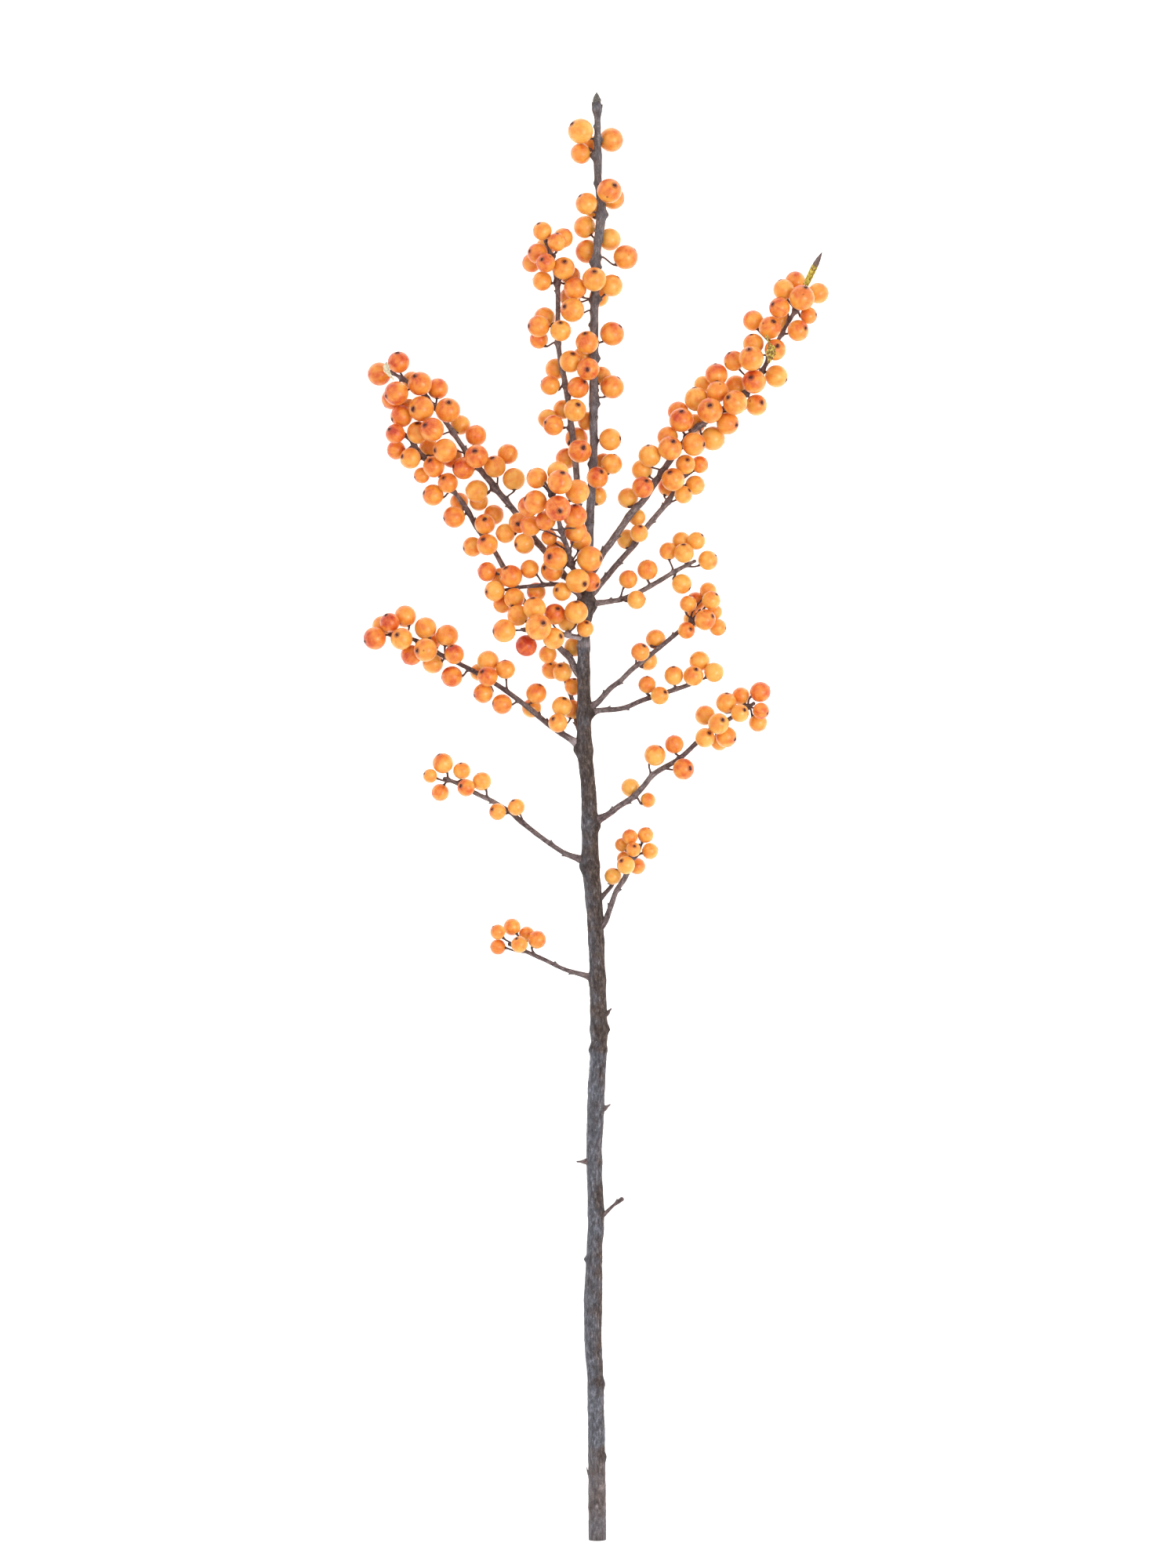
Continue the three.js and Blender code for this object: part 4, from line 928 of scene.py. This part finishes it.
def winter_bark(name, browns, greys, streak, blotch, pore_gap, pore_colour, pore_share, relief):
    """Thin bark of a shrub in winter, grown in place: long fine wrinkles, pale corky pores, a grey waxy
    bloom in patches, and darker knobs where leaves fell. Dull, with a faint gloss on the wax."""
    material, tree, grown, tone = new_material(name, "grown", "tone")
    greyness, stain, bleach = add(tree, "SeparateXYZ", links={0: tone}).outputs
    drawn_out, squashed, slanted = [
        add(tree, "VectorMath", {"operation": "MULTIPLY", 1: stretch}, {0: grown})
        for stretch in ((1.0, 1.0, 0.36), (0.7, 0.7, 1.0), (1.0, 1.0, 0.45))]
    streaks = add(tree, "TexNoise", {"Scale": 1 / streak, "Detail": 4.0, "Roughness": 0.62},
                  {"Vector": drawn_out})
    patches = add(tree, "TexNoise", {"Scale": 1 / 5.0, "Detail": 3.0, "Roughness": 0.6}, {"Vector": grown})
    grit = add(tree, "TexNoise", {"Scale": 1 / 0.45, "Detail": 3.0}, {"Vector": grown})
    brown = add(tree, "ValToRGB", {"stops": [*zip((0.3, 0.52, 0.72), browns)]}, {0: streaks})
    grey = add(tree, "ValToRGB", {"stops": [*zip((0.3, 0.55, 0.75), greys)]}, {0: streaks})
    waxy = add(tree, "Math", {"operation": "MULTIPLY_ADD", 1: 2.2, 2: -1.1}, {0: patches})
    waxy = add(tree, "Math", {"operation": "ADD", "use_clamp": True}, {0: waxy, 1: greyness})
    colour = add(tree, "Mix", {"data_type": "RGBA"}, {0: waxy, 6: brown, 7: grey})
    bleach_share = add(tree, "Math", {"operation": "MULTIPLY", 1: 0.85}, {0: bleach})
    pores = add(tree, "TexVoronoi", {"Scale": 1 / pore_gap, "Randomness": 1.0}, {"Vector": squashed})
    pore_dot = add(tree, "MapRange", {"range": (0.06, 0.13, pore_share, 0.0)}, {"Value": pores})
    # the pores come in loose groups, some stretches have hardly any
    grouped = add(tree, "MapRange", {"range": (0.42, 0.62, 0.1, 1.0)}, {"Value": patches})
    pore_mask = add(tree, "Math", {"operation": "MULTIPLY"}, {0: pore_dot, 1: grouped})
    for tint, mask in (("#b9adaf", bleach_share), (pore_colour, pore_mask)):
        colour = add(tree, "Mix", {"data_type": "RGBA", 7: tint}, {0: mask, 6: colour})
    # dark and light blotches and vertical cracks, a millimetre or two across, and grit over them
    blotches = add(tree, "TexNoise", {"Scale": 1 / blotch, "Detail": 5.0, "Roughness": 0.7},
                   {"Vector": slanted})
    strong = add(tree, "MapRange", {"range": (0.36, 0.64, 0.12, 0.88)}, {"Value": blotches})
    for share, light in ((0.45, strong), (0.6, grit)):
        colour = add(tree, "Mix", {"data_type": "RGBA", "blend_type": "OVERLAY", 0: share},
                     {6: colour, 7: light})
    stained_share = add(tree, "Math", {"operation": "MULTIPLY", 1: 0.6}, {0: stain})
    stained = add(tree, "Mix", {"data_type": "RGBA", 7: browns[0]}, {0: stained_share, 6: colour})
    rough = add(tree, "MapRange", {"range": (0.0, 1.0, 0.82, 0.6)}, {"Value": waxy})
    fissures = add(tree, "Bump", {"Strength": relief, "Distance": 0.35 * MM}, {"Height": blotches})
    corky = add(tree, "Bump", {"Strength": 0.5, "Distance": 0.2 * MM},
                {"Height": pore_mask, "Normal": fissures})
    scurf = add(tree, "Bump", {"Strength": 0.5, "Distance": 0.12 * MM}, {"Height": grit, "Normal": corky})
    return finished(material, {"IOR": 1.45, "Specular IOR Level": 0.3},
                    {"Base Color": stained, "Roughness": rough, "Normal": scurf})


def bud_scales():
    """Winter bud scales: small dry scales, varnished. The eye sees dark chestnut with a dull shine."""
    material, tree = new_material("dry_bud_scales")
    place = add(tree, "TexCoord").outputs["Object"]
    return mottled(material, tree, place, (1 / (0.6 * MM), 3.0),
                   [(0.3, "#3b3531"), (0.55, "#625b55"), (0.75, "#8b877f")], (0.5, 0.15 * MM), 0.6)


def sawn_wood():
    """The cut end: sawn green wood gone dry. The eye sees a pale face with rings and a dark pith."""
    material, tree, grown, tone = new_material("sawn_green_wood", "grown", "tone")
    outwards = add(tree, "SeparateXYZ", links={0: tone}).outputs[0]
    uneven = add(tree, "TexNoise", {"Scale": 1 / 0.8, "Detail": 3.0}, {"Vector": grown})
    reach = add(tree, "Math", {"operation": "MULTIPLY_ADD", 1: 0.12}, {0: uneven, 2: outwards})
    rings = add(tree, "Math", {"operation": "MULTIPLY", 1: 22.0}, {0: reach})
    rings = add(tree, "Math", {"operation": "SINE"}, {0: rings})
    face = add(tree, "ValToRGB", {"stops": [
        (0.08, "#6b5443"), (0.16, "#a08a6c"), (0.5, "#9c8c70"), (0.9, "#8b8a72"), (1.0, "#5b5a48")]},
               {0: reach})
    ringed = add(tree, "Mix", {"data_type": "RGBA", "blend_type": "MULTIPLY", 0: 0.2}, {6: face, 7: rings})
    bump = add(tree, "Bump", {"Strength": 0.4, "Distance": 0.2 * MM}, {"Height": uneven})
    return finished(material, {"Roughness": 0.8, "IOR": 1.45}, {"Base Color": ringed, "Normal": bump})


def dry_leaf_blade():
    """A dead leaf, dried as it curled: papery, olive-yellow going brown, with dark fungus spots and a
    brown tip. Dull, and thin enough to let some light through."""
    material, tree, grown, tone = new_material("dried_leaf_blade", "grown", "tone")
    tipwards, browned, bleach = add(tree, "SeparateXYZ", links={0: tone}).outputs
    cloud = add(tree, "TexNoise", {"Scale": 1 / 1.6, "Detail": 3.0}, {"Vector": grown})
    olive = add(tree, "ValToRGB", {"stops": [
        (0.3, "#7c5323"), (0.42, "#b49a3a"), (0.55, "#d6c45a"), (0.7, "#e6dc9c")]}, {0: cloud})
    cream = add(tree, "ValToRGB", {"stops": [
        (0.3, "#8a7f6a"), (0.48, "#d8ccae"), (0.7, "#efe8d6")]}, {0: cloud})
    colour = add(tree, "Mix", {"data_type": "RGBA"}, {0: bleach, 6: olive, 7: cream})
    # fungus spots about 1.2 mm apart, with ragged edges
    ragged = add(tree, "TexNoise", {"Scale": 1 / 0.4, "Detail": 2.0}, {"Vector": grown})
    spots = add(tree, "TexVoronoi", {"Scale": 1 / 1.2}, {"Vector": grown})
    reach = add(tree, "Math", {"operation": "MULTIPLY_ADD", 1: 0.9}, {0: ragged, 2: spots})
    reach = add(tree, "Math", {"operation": "MULTIPLY_ADD", 1: 0.3}, {0: bleach, 2: reach})
    spot_mask = add(tree, "MapRange", {"range": (0.68, 0.9, 0.85, 0.0)}, {"Value": reach})
    tip = add(tree, "MapRange", {"range": (0.5, 0.66, 0.0, 1.0)}, {"Value": tipwards})
    tip = add(tree, "Math", {"operation": "MULTIPLY"}, {0: tip, 1: browned})
    for tint, mask in (("#6b3f1e", spot_mask), ("#74636a", tip)):
        colour = add(tree, "Mix", {"data_type": "RGBA", 7: tint}, {0: mask, 6: colour})
    veins = add(tree, "TexWave", {"Scale": 1 / 1.6, "Distortion": 1.5, "bands_direction": "DIAGONAL"},
                {"Vector": grown})
    bump = add(tree, "Bump", {"Strength": 0.5, "Distance": 0.2 * MM}, {"Height": veins.outputs[1]})
    return finished(material, {"Roughness": 0.65, "IOR": 1.45, "Subsurface Weight": 0.15,
                               "Subsurface Radius": (1.0, 0.8, 0.3), "Subsurface Scale": 0.5 * MM},
                    {"Base Color": colour, "Normal": bump})


def stalk_skin():
    """Berry stalk: thin green skin turned purple-brown by cold. The eye sees a smooth dark thread."""
    material, tree = new_material("cold_tinted_stalk")
    place = add(tree, "TexCoord").outputs["Object"]
    return mottled(material, tree, place, (1 / (0.9 * MM), 2.0),
                   [(0.3, "#38272a"), (0.55, "#543d3c"), (0.75, "#6e5646")], (0.3, 0.1 * MM), 0.55)


def paper_floor():
    """Matt white background paper, pressed and uncoated: no gloss, faintly uneven."""
    material, tree = new_material("matt_white_paper")
    place = add(tree, "TexCoord").outputs["Object"]
    pulp = add(tree, "TexNoise", {"Scale": 40.0, "Detail": 3.0}, {"Vector": place})
    colour = add(tree, "ValToRGB", {"stops": [(0.0, "#f6f6f6"), (1.0, "#fbfbfb")]}, {0: pulp})
    return finished(material, {"Roughness": 0.95, "IOR": 1.3, "Specular IOR Level": 0.1,
                               "Emission Color": (1, 1, 1, 1), "Emission Strength": TABLE_GLOW},
                    {"Base Color": colour})


BERRY_SKIN, BUTTON = waxy_berry_skin(), dried_button()
STEM_BARK = winter_bark("weathered_winterberry_bark", ("#2d2321", "#4e413c", "#766961"),
                        ("#3c3a3f", "#606169", "#8b8c98"), 0.9, 1.7, 1.8, "#cbc4b8", 0.4, 0.9)
TWIG_BARK = winter_bark("young_winterberry_bark", ("#3c3033", "#5f4f4f", "#82716e"),
                        ("#594d4d", "#7d6f6d", "#9f938f"), 0.5, 1.1, 1.5, "#b5ab9d", 0.5, 0.5)
BUD, SAWN, LEAF, STALK = bud_scales(), sawn_wood(), dry_leaf_blade(), stalk_skin()

grow(stem, None, [STEM_BARK, BUD, SAWN], "stem_bark")
for twig in twigs:
    grow(twig, stem, [TWIG_BARK, BUD], "twig_bark")
for node, bunch in bunches.items():
    fruit, stalks = Skin(), Skin()
    for berry in bunch:
        add_berry(fruit, berry)
        add_stalk(stalks, berry)
    title = node[len("berries_"):]
    fruit.piece("fruit_" + title, [BERRY_SKIN, BUTTON], "berry", node)
    stalks.piece("stalks_" + title, [STALK], "twig_bark", node)
for node in LEAF_SHAPES:
    make_leaf(node, [LEAF])


# ---------------------------------------------------------------- table, light and camera
def table():
    mesh = bpy.data.meshes.new("paper_sheet")
    reach = 4.0
    mesh.from_pydata([(-reach, -reach, 0), (reach, -reach, 0), (reach, reach, 0), (-reach, reach, 0)], [],
                     [(0, 1, 2, 3)])
    sheet = new_object("paper_sheet", mesh)
    sheet.location.z = -0.0001
    mesh.materials.append(paper_floor())


def softbox(name, place, size, power):
    """A large square softbox that faces the middle of the sprig."""
    light = bpy.data.lights.new(name, "AREA")
    light.size, light.energy = size, power
    box = new_object(name, light)
    box.location = place
    box.rotation_euler = (-Vector(place)).to_track_quat("-Z", "Y").to_euler()
    box.visible_camera = False


table()
softbox("key_softbox", (0.85, -0.12, 1.45), 0.8, KEY_POWER)
softbox("fill_softbox", (-0.9, 0.7, 1.4), 1.2, FILL_POWER)
world = bpy.data.worlds.new("white_studio")
world.use_nodes = True
world.node_tree.nodes["Background"].inputs["Color"].default_value = (1, 1, 1, 1)
world.node_tree.nodes["Background"].inputs["Strength"].default_value = SKY
bpy.context.scene.world = world

camera = bpy.data.cameras.new("camera")
camera.sensor_width = SENSOR
camera.lens = SENSOR * (CAMERA_HEIGHT - SHARP_HEIGHT) / FRAME_HEIGHT
camera.clip_start, camera.clip_end = 0.05, 20.0
holder = new_object("camera", camera)
butt = stem.points[0]
holder.location = Vector((butt[0] + FRAME_CENTRE[0], butt[1] + FRAME_CENTRE[1], CAMERA_HEIGHT)) * MM
bpy.context.scene.camera = holder
bpy.context.scene.view_settings.view_transform = "Standard"
